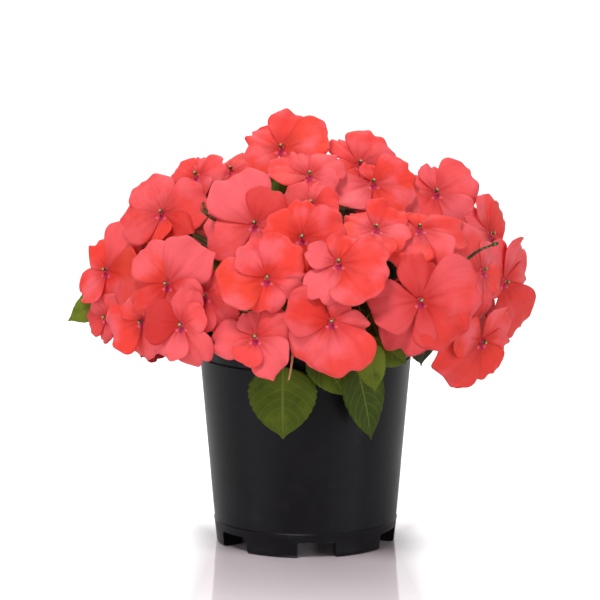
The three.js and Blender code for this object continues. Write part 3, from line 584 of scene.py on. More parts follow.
def petal_length(s, n):
    """How far out the rim is, across the petal from -1 to 1: two lobes, a notch and a few waves."""
    corner = max(0, trait("corner", n)) * CORNER_GROWTH
    corner_at = math.copysign(trait("corner place", n), trait("corner side", n))
    rim = RIM - trait("notch", n) * np.exp(-((s / NOTCH_WIDTH) ** 2)) - LOBE_DROP * np.abs(s) ** 4
    rim = rim + corner * np.exp(-(((s - corner_at) / CORNER_WIDTH) ** 2))
    return rim + RIM_WAVE_HEIGHT * np.sin(RIM_WAVES * s + trait("rim phase", n))


print("half a petal's width from throat to rim:", petal_width(np.linspace(0, 1, 5), 1.0).round(2))

# %% [markdown]
# The sheet then leaves its plane. It bends and swells as the plain petal does, its rim is ruffled,
# a groove runs down its middle and its tip droops. Each petal's left side lies over its neighbour,
# so it is twisted a little.

# %% The relief of a petal
WIDEST = 0.56  # where a plain petal is widest
TWIST = 0.062
THROAT_GAP = 1.2 * MM
GROOVE_DEPTH = 0.022
GROOVE_WIDTH = 0.1
TIP_DROOP = 0.04
SIDE_DROOP = 0.02
# Waves of the ruffle: radians from the middle to the side or from throat to rim, and their share.
BROAD_WAVES = 3.6
FINE_WAVES, FINE_SHARE = 9.5, 0.4
LONG_WAVES, LONG_SHARE = 5.5, 0.5


def soft_step(x):
    x = np.clip(x, 0, 1)
    return x * x * (3 - 2 * x)


def petal_relief(s, t, part, bend, n):
    """How far the points of a petal lie off its plane."""
    height = (bend + trait("bend", n)) * part ** 2 + ARCH * np.sin(math.pi * part)
    height = height - (TWIST + trait("twist", n)) * s * np.minimum(1, part / WIDEST)
    ruffle = trait("ruffle", n)
    rim = t ** 2.2
    height = height + ruffle * rim * np.sin(BROAD_WAVES * s + trait("broad phase", n))
    height = height + FINE_SHARE * ruffle * rim * np.sin(FINE_WAVES * s + trait("fine phase", n))
    height = height + LONG_SHARE * ruffle * t * np.sin(LONG_WAVES * t + trait("long phase", n))
    groove = np.exp(-((s / GROOVE_WIDTH) ** 2)) * np.sin(math.pi * np.minimum(1, t * 1.05))
    height = height - GROOVE_DEPTH * groove
    return height - TIP_DROOP * soft_step((t - 0.7) / 0.3) ** 2 - SIDE_DROOP * np.abs(s) ** 5 * t


relief = petal_relief(SHEET_ACROSS, SHEET_ALONG, SHEET_ALONG, 0.0, 0)
print(f"a flat petal's relief: {relief.min():.2f} to {relief.max():.2f} of its length")

# %% [markdown]
# Outline and relief come together in `petal_points`, which also rolls the edge of some petals
# back: there the petal gets narrower and dips behind its neighbour.

# %% The points of a petal
ROLL_START = 0.25  # from the middle of the petal, 0, to its side, 1
ROLL_NARROWING = 0.34
ROLL_DEPTH = 0.5


def petal_points(s, t, reach, bend, n):
    """Places of a petal's points, in metres: across it, out along it and up off it."""
    out = THROAT_GAP + (reach * petal_length(s, n) - THROAT_GAP) * t
    across = reach * (petal_width(t, trait("width", n)) * s + trait("lean", n) * t ** 2)
    height = petal_relief(s, t, out / reach, bend, n)
    roll = math.copysign(max(0, trait("roll", n)), trait("roll side", n))
    edge = np.clip(s * math.copysign(1, roll) - ROLL_START, 0, 1) / (1 - ROLL_START)
    across = across - reach * ROLL_NARROWING * roll * edge ** 2 * t
    height = height - ROLL_DEPTH * abs(roll) * edge ** 1.8 * t
    return across, out, height * reach


print("a petal is grown from", COLUMNS, "by", ROWS, "faces")

# %% [markdown]
# Some petals lie in shade and others in the light, and that is painted into their colour. Each row
# below holds a petal's direction as the front shows it, in degrees up from the right, and its
# painted shading: 1 is the deepest painted shade, -1 the palest, pinkest painted light. Petals that
# no row names have 0.

# %% Painted shade and light of petals
PAINTED_SHADING = {
    "bloom_04": [(200, 0.35), (250, 0.3)],
    "bloom_07": [(115, 0.2), (258, 0.25)],
    "bloom_06": [(205, -0.55)],
    "bloom_09": [(57, -0.55), (287, 0.3), (342, 0.35)],
    "bloom_11": [(215, 0.2), (308, 0.25)],
    "bloom_15": [(60, 0.45), (122, -0.55)],
    "bloom_18": [(290, 0.25)],
    "bloom_20": [(160, 0.2)],
    "bloom_22": [(208, 0.3), (263, 0.45), (50, -0.55)],
    "bloom_23": [(12, 0.2), (95, 0.45), (195, 0.4), (250, 0.35), (305, 0.3)],
    "bloom_24": [(160, -0.5), (250, -0.4)],
    "bloom_25": [(180, 0.75), (75, 0.25)],
    "bloom_26": [(165, 0.3), (60, 0.2)],
    "bloom_28": [(25, 0.2)],
}
SAME_PETAL = 30  # degrees


def petal_painted_shading(node, way):
    """The painted shading of the petal that points along way: shade above 0, light below."""
    clock = math.degrees(math.atan2(way.z, way.x))
    for direction, shading in PAINTED_SHADING.get(node, []):
        if abs((clock - direction + 180) % 360 - 180) < SAME_PETAL:
            return shading
    return 0.0


print(sum(len(rows) for rows in PAINTED_SHADING.values()), "petals have a tone of their own")

# %% [markdown]
# Now each bloom gets its copy of the five sheets. `grow_petals` bends them, turns them to the
# plain bloom's pose and writes the attributes that the colour reads. Solidify gives the sheet its
# thickness and puts the second material, the pale one, on its back.

# %% Grow the petals of every bloom
PETAL_THICKNESS = 0.45 * MM


def set_points(piece, places, pose):
    """Moves a piece's points to places that are given in a pose."""
    places = places @ np.array(pose.to_3x3()).T + np.array(pose.translation)
    piece.data.vertices.foreach_set("co", places.ravel())


def set_attributes(piece, **attributes):
    """Gives each point of a piece its values of these attributes."""
    for name, values in attributes.items():
        piece.data.attributes.new(name, "FLOAT", "POINT").data.foreach_set("value", values)


def grow_petals(node, number):
    """One bloom's five petals, on the place and slope of its CAD node."""
    pose, petals = blooms[node]
    places = np.zeros((len(SHEET_ALONG), 3))
    tint = np.zeros(len(SHEET_ALONG))
    deep = np.zeros(len(SHEET_ALONG))
    for k, (angle, reach, bend) in enumerate(petals):
        own = SHEET_PETAL == k
        n = PETALS * number + k
        across, out, height = petal_points(SHEET_ACROSS[own], SHEET_ALONG[own], reach, bend, n)
        cos, sin = math.cos(angle), math.sin(angle)
        # X of the sheet runs to the petal's right, as seen from the front with its tip up.
        places[own] = np.column_stack((out * cos + across * sin, out * sin - across * cos, height))
        shading = petal_painted_shading(node, pose.to_3x3() @ Vector((cos, sin, 0)))
        # A petal in the light is painted pinker, and a petal in shade gets painted shade.
        tint[own] = 0.6 * spread(number, 12) + 0.4 * spread(n, 13) + max(0, -shading)
        deep[own] = max(0, shading)
    sunk = pose.to_3x3().transposed() @ Vector((0, 0, -1))
    down = Vector((sunk.x, sunk.y)).normalized()
    piece = copy_of(flat_bloom)
    piece.name = f"{node}_petals"
    set_attributes(piece, tint=tint, deep=deep,
                   beside=(places[:, 0] * -down.y + places[:, 1] * down.x) / MM,
                   below=(places[:, 0] * down.x + places[:, 1] * down.y) / MM)
    set_points(piece, places, pose)
    piece.data.materials.append(PETAL)
    piece.data.materials.append(PETAL_BACK)
    apply_modifier(piece, "SOLIDIFY", thickness=PETAL_THICKNESS, offset=-1,
                   use_quality_normals=True, material_offset=1, material_offset_rim=0)
    return hand_over(piece, "petal", node)


petal_pieces = [grow_petals(node, number) for number, node in enumerate(BLOOM_NODES)]
bpy.data.objects.remove(flat_bloom)
print(sum(len(p.data.polygons) for p in petal_pieces), "faces in all petals")

# %% [markdown]
# ## The heart of a bloom
#
# In the throat stands a short column that carries an olive bead, the anthers grown together.
# Behind the petals sit the small green sepals and the spur, a thin curved tube that holds the
# nectar. One material colours the column by its height, from green sepals over the red throat to
# the bead. Another one colours the spur from its root to its tip.

# %% Colours of the heart and the spur
OLIVE = (0.085, 0.05, 0.008)
CREAM = (0.72, 0.52, 0.24)
SEPAL_GREEN = (0.2, 0.26, 0.07)
SPUR_PINK = (0.82, 0.2, 0.13)
# The heart's colours from the sepals up to the bead: (where each starts, where it is full, colour).
HEART_BANDS = [(0.12, 0.3, CORAL), (0.4, 0.5, MAGENTA), (0.6, 0.68, CREAM), (0.7, 0.78, OLIVE)]


def heart_material():
    recipe = Recipe("bloom_heart")
    _, along = recipe.across_and_along()
    specks = recipe.noise(1100.0, recipe.place())
    colour = SEPAL_GREEN
    for start, full, band in HEART_BANDS:
        colour = recipe.over(colour, recipe.fade(along, start, full), band)
    # Painted highlight: the tip of the bead is laid over with cream.
    colour = recipe.over(colour, recipe.fade(along, 0.95, 1.0), CREAM, 0.7)
    colour = recipe.over(colour, recipe.fade(specks, 0.56, 0.68), CREAM, 0.5)
    recipe.bump(specks, 0.15 * MM, 0.5)
    return recipe.finish(Base_Color=colour, Roughness=0.5, Specular_IOR_Level=0.25)


def spur_material():
    recipe = Recipe("spur_and_sepal")
    _, along = recipe.across_and_along()
    streaks = recipe.noise(700.0, recipe.place())
    colour = recipe.over(SPUR_PINK, recipe.fade(along, 0.0, 0.5), CREAM)
    colour = recipe.over(colour, recipe.fade(streaks, 0.45, 0.65), SEPAL_GREEN, 0.4)
    recipe.bump(streaks, 0.1 * MM, 0.4)
    return recipe.finish(Base_Color=colour, Roughness=0.45, Subsurface_Weight=0.1,
                         Subsurface_Radius=(0.001, 0.0004, 0.0003), Subsurface_Scale=1.0)


HEART = heart_material()
SPUR = spur_material()
print("made", HEART.name, "and", SPUR.name)

# %% [markdown]
# The column is turned round its axis like a chess piece, by spinning half of its profile. It is
# modelled once, and each bloom gets a copy.

# %% Turn the column
# Half of the column's profile, from behind the petals to the bead's tip: [radius, height].
COLUMN_PROFILE = [
    [0.0, -2.6], [1.0, -2.5], [1.5, -1.9], [2.0, -0.9], [1.9, -0.2], [1.25, 0.35], [0.8, 0.9],
    [0.6, 1.5], [0.8, 2.0], [1.1, 2.5], [1.2, 3.0], [1.0, 3.5], [0.55, 3.85], [0.0, 3.95],
]
COLUMN_SIDES = 14


def spun(profile, steps, name):
    """A closed shape turned round Z from [radius, height] pairs in millimetres. V rises with Z."""
    profile = [(radius * MM, height * MM) for radius, height in profile]
    edges = [(k, k + 1) for k in range(len(profile) - 1)]
    mesh = bpy.data.meshes.new(name)
    mesh.from_pydata([(radius, 0, height) for radius, height in profile], edges, [])
    piece = bpy.data.objects.new(name, mesh)
    bpy.context.collection.objects.link(piece)
    select_only(piece)
    bpy.ops.object.mode_set(mode="EDIT")
    bpy.ops.mesh.select_all(action="SELECT")
    bpy.ops.mesh.spin(steps=steps, angle=FULL_TURN, center=(0, 0, 0), axis=(0, 0, 1))
    bpy.ops.mesh.select_all(action="SELECT")
    bpy.ops.mesh.remove_doubles(threshold=0.005 * MM)
    bpy.ops.mesh.normals_make_consistent(inside=False)
    bpy.ops.object.mode_set(mode="OBJECT")
    low, high = min(z for _, z in profile), max(z for _, z in profile)
    uv = piece.data.uv_layers.new(name="UVMap")
    for loop in piece.data.loops:
        place = piece.data.vertices[loop.vertex_index].co
        turn = math.atan2(place.y, place.x) / FULL_TURN + 0.5
        uv.data[loop.index].uv = (turn, (place.z - low) / (high - low))
    return piece


column = spun(COLUMN_PROFILE, COLUMN_SIDES, "column")
print(len(column.data.polygons), "faces in a column")

# %% [markdown]
# Spurs, stems and stalks are all round tubes along lines. A curve with a round bevel is the short
# way to a tube, because each of its points has its own radius, so that a stem can taper to its
# end. Converting the curve gives a closed mesh. A line that is given by a few points first has its
# corners rounded off.

# %% Tubes along lines
TUBE_SIDES = 8


def rounded(line, bend=4 * MM, steps=3):
    """The points of a line with its corners rounded off."""
    points = [line[0]]
    for before, corner, after in zip(line, line[1:], line[2:]):
        reach = min(bend, 0.4 * (before - corner).length, 0.4 * (after - corner).length)
        start = corner + (before - corner).normalized() * reach
        end = corner + (after - corner).normalized() * reach
        for k in range(steps + 1):
            share = k / steps
            points.append(start.lerp(corner, share).lerp(corner.lerp(end, share), share))
    return [*points, line[-1]]


def tubes(lines, name):
    """One mesh of closed tubes. Each line is (points, radius at its start, radius at its end)."""
    curve = bpy.data.curves.new(name, "CURVE")
    curve.dimensions = "3D"
    curve.bevel_depth = 1.0
    curve.bevel_resolution = (TUBE_SIDES - 4) // 2
    curve.use_fill_caps = True
    for points, start_radius, end_radius in lines:
        spline = curve.splines.new("POLY")
        spline.points.add(len(points) - 1)
        for k, point in enumerate(points):
            share = k / (len(points) - 1)
            spline.points[k].co = (*point, 1)
            spline.points[k].radius = start_radius + (end_radius - start_radius) * share
    piece = bpy.data.objects.new(name, curve)
    bpy.context.collection.objects.link(piece)
    select_only(piece)
    bpy.ops.object.convert(target="MESH")
    return bpy.context.object


print("tubes get", TUBE_SIDES, "sides")

# %% [markdown]
# A spur leaves the back of its bloom and curves down behind the bloom's own petals. Its line is
# measured from the bloom's pose, so that it hangs however the bloom is turned.

# %% Hearts and spurs of every bloom
SPUR_LENGTH = 15 * MM
SPUR_DEPTH = 2.8 * MM
SPUR_POINTS = 9
SPUR_RADII = (0.95 * MM, 0.35 * MM)


def spur_line(pose, n):
    """The middle of a spur, from the back of the bloom to its tip."""
    back = -pose.to_3x3().col[2]
    down = Vector((0, 0, -1)) - back * -back.z
    down = (down if down.length > 0.2 else pose.to_3x3().col[0]).normalized()
    side = back.cross(down) * (spread(n, 14) - 0.5)
    start = pose.translation + back * 1.2 * MM + down * 0.8 * MM
    line = []
    for k in range(SPUR_POINTS):
        share = k / (SPUR_POINTS - 1)
        behind = SPUR_DEPTH * math.sin(math.pi * 0.62 * share)
        way = (down + side * share).normalized()
        line.append(start + back * behind + way * SPUR_LENGTH * share)
    return line


def grow_heart(node):
    heart = copy_of(column)
    heart.data.transform(blooms[node][0])
    heart.name = f"{node}_heart"
    return hand_over(heart, "petal", node, material=HEART)


def grow_spur(node, number):
    spur = tubes([(spur_line(blooms[node][0], number), *SPUR_RADII)], f"{node}_spur")
    return hand_over(spur, "petal", node, material=SPUR)


hearts = [grow_heart(node) for node in BLOOM_NODES]
spurs = [grow_spur(node, number) for number, node in enumerate(BLOOM_NODES)]
bpy.data.objects.remove(column)
print(len(hearts), "hearts and", len(spurs), "spurs")

# %% [markdown]
# ## The lines of the stems
#
# Busy lizzies have thick, juicy stems that rise from the soil and lean out, each with a low side
# branch. The CAD model draws them along smooth curves through a few points, and its leaf and
# flower stalks start from joints on those curves. The same curves are drawn again here, so that
# the round stems lie exactly on the plain ones. A Catmull-Rom curve passes through all its points.

# %% Stem curves
STEM_COUNT = 6
STEM_CIRCLE = 15
SOIL_TOP = 104
# Points of a stem and of its branch: (millimetres out from the stem's circle, up from the soil).
MAIN_LINE = [(0, -22), (0, 3), (5, 22), (13, 42), (18, 60)]
BRANCH_LINE = [(1, 8), (19, 21), (42, 25)]


def from_axis(point):
    """A place given in millimetres from the pot's axis, in metres in the frame."""
    return Vector(point) * MM + POT_AXIS


def curve_through(through, steps):
    """Evenly numbered points on a centripetal Catmull-Rom curve through the given ones."""
    ends = [2 * through[0] - through[1], *through, 2 * through[-1] - through[-2]]
    points = []
    for step in range(steps + 1):
        along = step * (len(through) - 1) / steps
        k = min(int(along), len(through) - 2)
        t = along - k
        p0, p1, p2, p3 = ends[k:k + 4]
        d0, d1, d2 = (p1 - p0).length ** 0.5, (p2 - p1).length ** 0.5, (p3 - p2).length ** 0.5
        m1 = ((p1 - p0) / d0 - (p2 - p0) / (d0 + d1) + (p2 - p1) / d1) * d1
        m2 = ((p2 - p1) / d1 - (p3 - p1) / (d1 + d2) + (p3 - p2) / d2) * d1
        points.append(
            (2 * t ** 3 - 3 * t ** 2 + 1) * p1 + (t ** 3 - 2 * t ** 2 + t) * m1
            + (-2 * t ** 3 + 3 * t ** 2) * p2 + (t ** 3 - t ** 2) * m2)
    return points


def stem_lines(index, main_steps, branch_steps):
    """The curve of one main stem and that of its branch."""
    out = facing(index * 360 / STEM_COUNT, 0)
    curves = []
    for line, steps in ((MAIN_LINE, main_steps), (BRANCH_LINE, branch_steps)):
        places = [out * (STEM_CIRCLE + r) + Vector((0, 0, SOIL_TOP + z)) for r, z in line]
        curves.append(curve_through([from_axis(place) for place in places], steps))
    return curves


print("stems stand on a circle of", STEM_CIRCLE, "mm")

# %% [markdown]
# Stalks don't start just anywhere: each grows from a joint, a point of the plain stem's curve. The
# lowest points are left out, because they lie in the soil or just above it.

# %% Joints of the stems
MAIN_STEPS = 14
BRANCH_STEPS = 8
LOWEST_ON_MAIN = 6
LOWEST_ON_BRANCH = 3


def stem_joints(index):
    """The points of a stem from which stalks grow: all but the lowest ones of its plain curves."""
    main, branch = stem_lines(index, MAIN_STEPS, BRANCH_STEPS)
    return [*main[LOWEST_ON_MAIN:], *branch[LOWEST_ON_BRANCH:]]


joints = [stem_joints(index) for index in range(STEM_COUNT)]

# %% [markdown]
# ## Finding the stalks
#
# Each flower stalk is a thin tube of three flat sides that starts just behind its bloom, so three
# of its corners lie round a known point. From those three, the next three along the edges are the
# tube's next bend, and so on until it runs into a stem.

# %% Follow a flower stalk
STALK_START = HUB_DEPTH + 0.3 * MM
FLOWER_STALK_RADIUS = 0.95 * MM
STALK_SIDES = 3
ON_THE_RING = 0.12 * MM

stem_shapes = {node: merged_shape(node) for node in STEM_NODES}


def corners_round(shape, place, radius, count):
    """The corners of a shape that lie round a place at that radius, or None if there are fewer."""
    off = [(abs((v.co - place).length - radius), v.index, v) for v in shape.verts]
    best = sorted(off)[:count]
    return [v for _, _, v in best] if best[-1][0] < ON_THE_RING else None


def centre_of(corners):
    return sum((v.co for v in corners), Vector()) / len(corners)


def follow_stalk(corners):
    """The middles of a three-sided tube's rings, from its end at these corners to its joint."""
    line = [centre_of(corners)]
    seen = set(corners)
    while True:
        ahead = {edge.other_vert(v) for v in corners for edge in v.link_edges} - seen
        seen |= ahead
        corners = sorted(ahead, key=lambda v: v.index)
        if corners:
            line.append(centre_of(corners))
        if len(corners) != STALK_SIDES:
            return line


print("the stems have", sum(len(shape.verts) for shape in stem_shapes.values()), "corners")

# %% [markdown]
# Where a stalk runs into its stem, the last corners are the stem's own. So the end is moved to the
# joint that the stalk runs at: the one closest to the line of its last stretch.

# %% Find every flower stalk
FAR_JOINT = 0.15  # how much a joint's distance from the line's end counts beside its miss


def nearest_joint(line):
    """The stem joint that a line runs at: the one nearest to it beyond its last two points."""
    before, last = line[-2], line[-1]
    way = (last - before).normalized()

    def miss(joint):
        ahead = max(0, (joint - before).dot(way))
        return (joint - before - way * ahead).length + FAR_JOINT * (joint - last).length

    return min((joint for own in joints for joint in own), key=miss)


def find_stalk(pose):
    """The stem node that a bloom's stalk is part of, and the stalk's line from bloom to joint."""
    start = pose @ Vector((0, 0, -STALK_START))
    for node, shape in stem_shapes.items():
        corners = corners_round(shape, start, FLOWER_STALK_RADIUS, STALK_SIDES)
        if corners:
            line = follow_stalk(corners)
            return node, [pose @ Vector((0, 0, -HUB_DEPTH * 0.8)), *line[1:-1], nearest_joint(line)]
    return None


flower_stalks = {node: [] for node in STEM_NODES}
for found in [find_stalk(pose) for pose, _ in blooms.values()]:
    if found:
        flower_stalks[found[0]].append(found[1])
print(sum(len(lines) for lines in flower_stalks.values()), "flower stalks found")

# %% [markdown]
# ## Where the leaves are
#
# A few leaves hang out under the blooms or reach out at the side, and each has its own base, tip
# and width. The others stand in rows inside the shell of blooms, at a smaller copy of the mound.

# %% Leaf seats
MOUND_SIZE = Vector((106, 96, 76))
MOUND_CENTRE = 128
REACHING_LEAVES = [
    {"base": (-12, -66, 107), "tip": (-12.5, -74, 70), "width": 36, "face": (-5, 12)},
    {"base": (25, -66, 113), "tip": (45, -78, 73), "width": 27, "face": (35, 12)},
    {"base": (31, -79, 122), "tip": (37, -86, 98), "width": 17, "face": (10, 15)},
    {"base": (5, -66, 116), "tip": (20, -80, 95), "width": 21, "face": (-12, 25)},
    {"base": (-94, 18, 137), "tip": (-132.5, 7, 131), "width": 28, "face": (-20, 45)},
    {"base": (36, -62, 121), "tip": (54, -62, 109), "width": 22, "face": (20, 25)},
    {"base": (32, -52, 135), "tip": (45, -61, 112), "width": 24, "face": (20, 20)},
    {"base": (81, -38, 135), "tip": (95, -46, 116), "width": 26, "face": (50, 20)},
    {"base": (-14, -14, 183), "tip": (-23, -18, 203), "width": 24, "face": (-10, 30)},
    {"base": (-8, -54, 143), "tip": (-8, -66, 117), "width": 24, "face": (0, 20)},
]
LEAF_ROWS = [
    {"height": -6, "part": 0.8, "start": 50, "step": 37, "count": 8, "length": 42},
    {"height": 24, "part": 0.74, "start": 20, "step": 60, "count": 6, "length": 44},
    {"height": 55, "part": 0.72, "start": 60, "step": 100, "count": 3, "length": 42},
]
INNER_LEAF_BREADTH = 0.72


def leaf_pose(base, along, normal):
    """A leaf grows from its base along X and looks along Z."""
    flat_along = (along - normal * along.dot(normal)).normalized()
    pose = Matrix((flat_along, normal.cross(flat_along), normal)).transposed().to_4x4()
    pose.translation = from_axis(base)
    return pose


def reaching_seat(row):
    """(pose, length, width, way that it points) of a leaf, the lengths in millimetres."""
    base, tip = Vector(row["base"]), Vector(row["tip"])
    along = (tip - base).normalized()
    return leaf_pose(base, along, facing(*row["face"])), (tip - base).length, row["width"], along


def inner_seat(row, k, number):
    """The same for leaf k of a row inside the shell. It hangs down the mound, turned a little."""
    off = facing(row["start"] + k * row["step"], row["height"]) * MOUND_SIZE * row["part"]
    normal = Vector([off[axis] / MOUND_SIZE[axis] ** 2 for axis in range(3)]).normalized()
    down = (Vector((0, 0, -1)) + normal * normal.z).normalized()
    turn = math.radians(50 * (spread(number) - 0.5))
    along = Matrix.Rotation(turn, 3, normal) @ down
    length = row["length"]
    base = off + Vector((0, 0, MOUND_CENTRE)) - along * (length / 2)
    return leaf_pose(base, along, normal), length, length * INNER_LEAF_BREADTH, along


leaves = [reaching_seat(row) for row in REACHING_LEAVES]
for row in LEAF_ROWS:
    for k in range(row["count"]):
        leaves.append(inner_seat(row, k, len(leaves)))
print(len(leaves), "leaves")

# %% [markdown]
# ## Finding the leaf stalks
#
# A leaf stalk rises from a joint over a crown and comes down to the leaf. The crown lies above the
# line between the two ends, by one of a few heights, so every joint and height is tried. On the
# right one, points along the line lie in the middle of a plain stalk with four flat sides, so they
# are all equally far from its skin.

# %% Match the leaf stalks
LEAF_STALK_RADIUS = 1.2 * MM
TO_FLAT_SIDE = LEAF_STALK_RADIUS * math.cos(math.pi / 4)
ARCHES = [0, 4, 8, 12, 17, 22]
CROWN_PLACE = 0.6
RISE_CHECKS = (0.5, 0.7, 0.9)
FALL_CHECKS = (0.2, 0.5, 0.8)
BEST_CHECKS = 5
# Millimetres under a leaf's base and on along it: where its stalk comes in, and where it ends.
STALK_COMES_IN = (2, -7)
STALK_ENDS = (0.7, 1.5)


def stalk_miss(skin, joint, crown, approach):
    """How far points on a tried line are from the middle of a plain stalk: the best ones' sum."""
    tried = [joint.lerp(crown, share) for share in RISE_CHECKS]
    tried += [crown.lerp(approach, share) for share in FALL_CHECKS]
    off = sorted(abs(skin.find_nearest(place)[3] - TO_FLAT_SIDE) for place in tried)
    return sum(off[:BEST_CHECKS])


def leaf_stalk(pose, along):
    """The miss, the stem node and the line of the stalk that ends at a leaf."""
    under = -pose.to_3x3().col[2]
    approach, sunk = (pose.translation + (under * below + along * on) * MM
                      for below, on in (STALK_COMES_IN, STALK_ENDS))
    best = None
    for own, (node, shape) in zip(joints, stem_shapes.items()):
        skin = BVHTree.FromBMesh(shape)
        if skin.find_nearest(approach)[3] > LEAF_STALK_RADIUS:
            continue
        for joint in own:
            for arch in ARCHES:
                crown = joint.lerp(approach, CROWN_PLACE) + Vector((0, 0, arch * MM))
                miss = stalk_miss(skin, joint, crown, approach)
                if best is None or miss < best[0]:
                    best = (miss, node, [joint, crown, approach, sunk])
    return best


leaf_stalks = [leaf_stalk(pose, along) for pose, _, _, along in leaves]
print("worst match of a leaf stalk:", f"{max(miss for miss, _, _ in leaf_stalks) / MM:.2f} mm")

# %% [markdown]
# ## Leaf colour
#
# The leaf is mid green with a satin skin. Its midrib and side veins are lighter, and the skin
# bulges a little between them. The veins are drawn from the leaf's UV map. The place along the
# leaf, moved forward with the distance from the midrib, counts up to the number of side veins, and
# a vein lies half way between each two whole numbers.

# %% Leaf colour
LEAF_GREEN = (0.057, 0.091, 0.0055)
LEAF_DARK = (0.016, 0.028, 0.003)
LEAF_FRESH = (0.15, 0.19, 0.014)
VEIN_GREEN = (0.16, 0.20, 0.035)
SIDE_VEINS = 8.0
SIDE_VEIN_STRENGTH = 0.6
VEIN_LEAN = 0.25  # how steeply a side vein leaves the midrib
VEIN_CURVE = 0.7  # and how much it bends on towards the tip


def leaf_veins(recipe, across, along):
    """1 on the midrib, and a little less on the side veins, which curve forward from it."""
    middle = recipe.away(across, 0.5)
    curved = recipe.times(recipe.times(middle, middle), VEIN_CURVE)
    forward = recipe.plus(recipe.times(middle, VEIN_LEAN), curved)
    slant = recipe.math("SUBTRACT", along, forward)
    phase = recipe.math("FRACT", recipe.times(slant, SIDE_VEINS))
    side_vein = recipe.fade(recipe.away(phase, 0.5), 0.1, 0.0)
    midrib = recipe.fade(middle, 0.03, 0.008)
    return recipe.math("MAXIMUM", midrib, recipe.times(side_vein, SIDE_VEIN_STRENGTH))


def leaf_material():
    recipe = Recipe("busy_lizzie_leaf")
    place = recipe.place()
    tint = recipe.attribute("tint")
    veins = leaf_veins(recipe, *recipe.across_and_along())
    clouds = recipe.noise(70.0, place, 3.0)
    mesh = recipe.node("ShaderNodeTexVoronoi", Vector=place, Scale=900.0,
                       settings={"feature": "DISTANCE_TO_EDGE"})
    # Painted shade: low tints, on the leaves inside the shell, darken them towards LEAF_DARK.
    colour = recipe.over(LEAF_DARK, recipe.fade(tint, 0.25, 0.9), LEAF_GREEN)
    colour = recipe.over(colour, recipe.fade(tint, 0.75, 1.0), LEAF_FRESH)
    colour = recipe.over(colour, recipe.fade(clouds, 0.5, 0.7), LEAF_FRESH, 0.45)
    colour = recipe.over(colour, recipe.fade(clouds, 0.46, 0.3), LEAF_DARK, 0.5)
    colour = recipe.over(colour, veins, VEIN_GREEN, 0.7)
    net = recipe.times(recipe.fade(mesh, 0.0, 0.12), 0.12)
    recipe.bump(recipe.math("SUBTRACT", net, recipe.times(veins, 0.6)), 0.5 * MM, 0.6)
    rough = recipe.plus(recipe.times(clouds, 0.2), 0.38)
    return recipe.finish(Base_Color=colour, Roughness=rough, Specular_IOR_Level=0.12,
                         Subsurface_Weight=0.08, Subsurface_Radius=(0.0006, 0.0012, 0.0003),
                         Subsurface_Scale=1.0)


LEAF = leaf_material()
print(LEAF.name, "has", len(LEAF.node_tree.nodes), "nodes")

# %% [markdown]
# The stems are juicy and pale green, with blotches of red where the sun reaches them, and fine
# streaks run in their skin.

# %% Stem colour
STEM_GREEN = (0.17, 0.22, 0.055)
STEM_RED = (0.22, 0.06, 0.03)


def stem_material():
    recipe = Recipe("juicy_stem")
    place = recipe.place()
    streaks = recipe.noise(260.0, place, 3.0)
    blotches = recipe.noise(45.0, place)
    colour = recipe.over(STEM_GREEN, recipe.fade(blotches, 0.5, 0.66), STEM_RED, 0.7)
    colour = recipe.over(colour, recipe.fade(streaks, 0.5, 0.7), VEIN_GREEN, 0.4)
    recipe.bump(streaks, 0.3 * MM, 0.5)
    return recipe.finish(Base_Color=colour, Roughness=0.38, Subsurface_Weight=0.15,
                         Subsurface_Radius=(0.0012, 0.0015, 0.0005), Subsurface_Scale=1.0)


STEM = stem_material()
print(STEM.name, "has", len(STEM.node_tree.nodes), "nodes")

# %% [markdown]
# ## The leaves
#
# A leaf starts as a flat grid, like a petal. Its rows are narrowed to the leaf's outline, its rim
# gets eleven round teeth on each side, and its surface droops to the tip, folds up from the
# midrib and swells between the side veins.

# %% Leaf shape
LEAF_DROOP = 0.16
LEAF_FOLD = 0.12
FOLD_EASING = 0.02  # how much less the leaf folds up far from its midrib
TEETH = 11
TOOTH_DEPTH = 0.05
SWELLING = 0.45
MIDRIB_GROOVE = 0.5
MIDRIB_WIDTH = 0.07
SIDE_WAVES, SIDE_WAVE_HEIGHT = 1.7, 0.02  # from base to tip, the height in parts of the width
TIP_HALF_WIDTH = 0.12
# Half the leaf's width at each place along it, both in parts: full past a quarter, then a drip tip.
LEAF_OUTLINE = [
    (0.0, 0.04), (0.03, 0.3), (0.08, 0.6), (0.15, 0.82), (0.25, 0.97), (0.36, 1.0), (0.5, 0.95),
    (0.64, 0.81), (0.73, 0.68), (0.81, 0.52), (0.87, 0.36), (0.915, 0.2), (0.95, 0.09), (1.0, 0.01),
]


def leaf_points(s, t, length, width, n):
    """Places of a leaf's points, in millimetres: along it, across it and up off it."""
    outline = np.interp(t, *zip(*LEAF_OUTLINE))
    scallop = 1 - np.mod(-TEETH * t, 1) ** 2 - 0.5
    half = np.maximum(outline * width / 2, TIP_HALF_WIDTH)
    across = s * half * (1 + TOOTH_DEPTH * scallop * np.abs(s) ** 8 * soft_step(t / 0.25))
    up = -LEAF_DROOP * length * t ** 2
    up = up + LEAF_FOLD * np.abs(across) - FOLD_EASING * np.abs(across) ** 1.5
    middle = np.abs(s) / 2
    slant = (t - VEIN_LEAN * middle - VEIN_CURVE * middle ** 2) * SIDE_VEINS
    swell = np.abs(np.sin(math.pi * (slant - 0.5))) ** 0.6
    swell = swell * np.sin(math.pi * np.abs(s)) * np.sin(math.pi * t)
    up = up + SWELLING * swell - MIDRIB_GROOVE * np.exp(-((s / MIDRIB_WIDTH) ** 2)) * (1 - t)
    wave = np.sin(FULL_TURN * (SIDE_WAVES * t + spread(n, 15))) * np.sign(s) * s ** 2
    return t * length, across, up + SIDE_WAVE_HEIGHT * width * wave


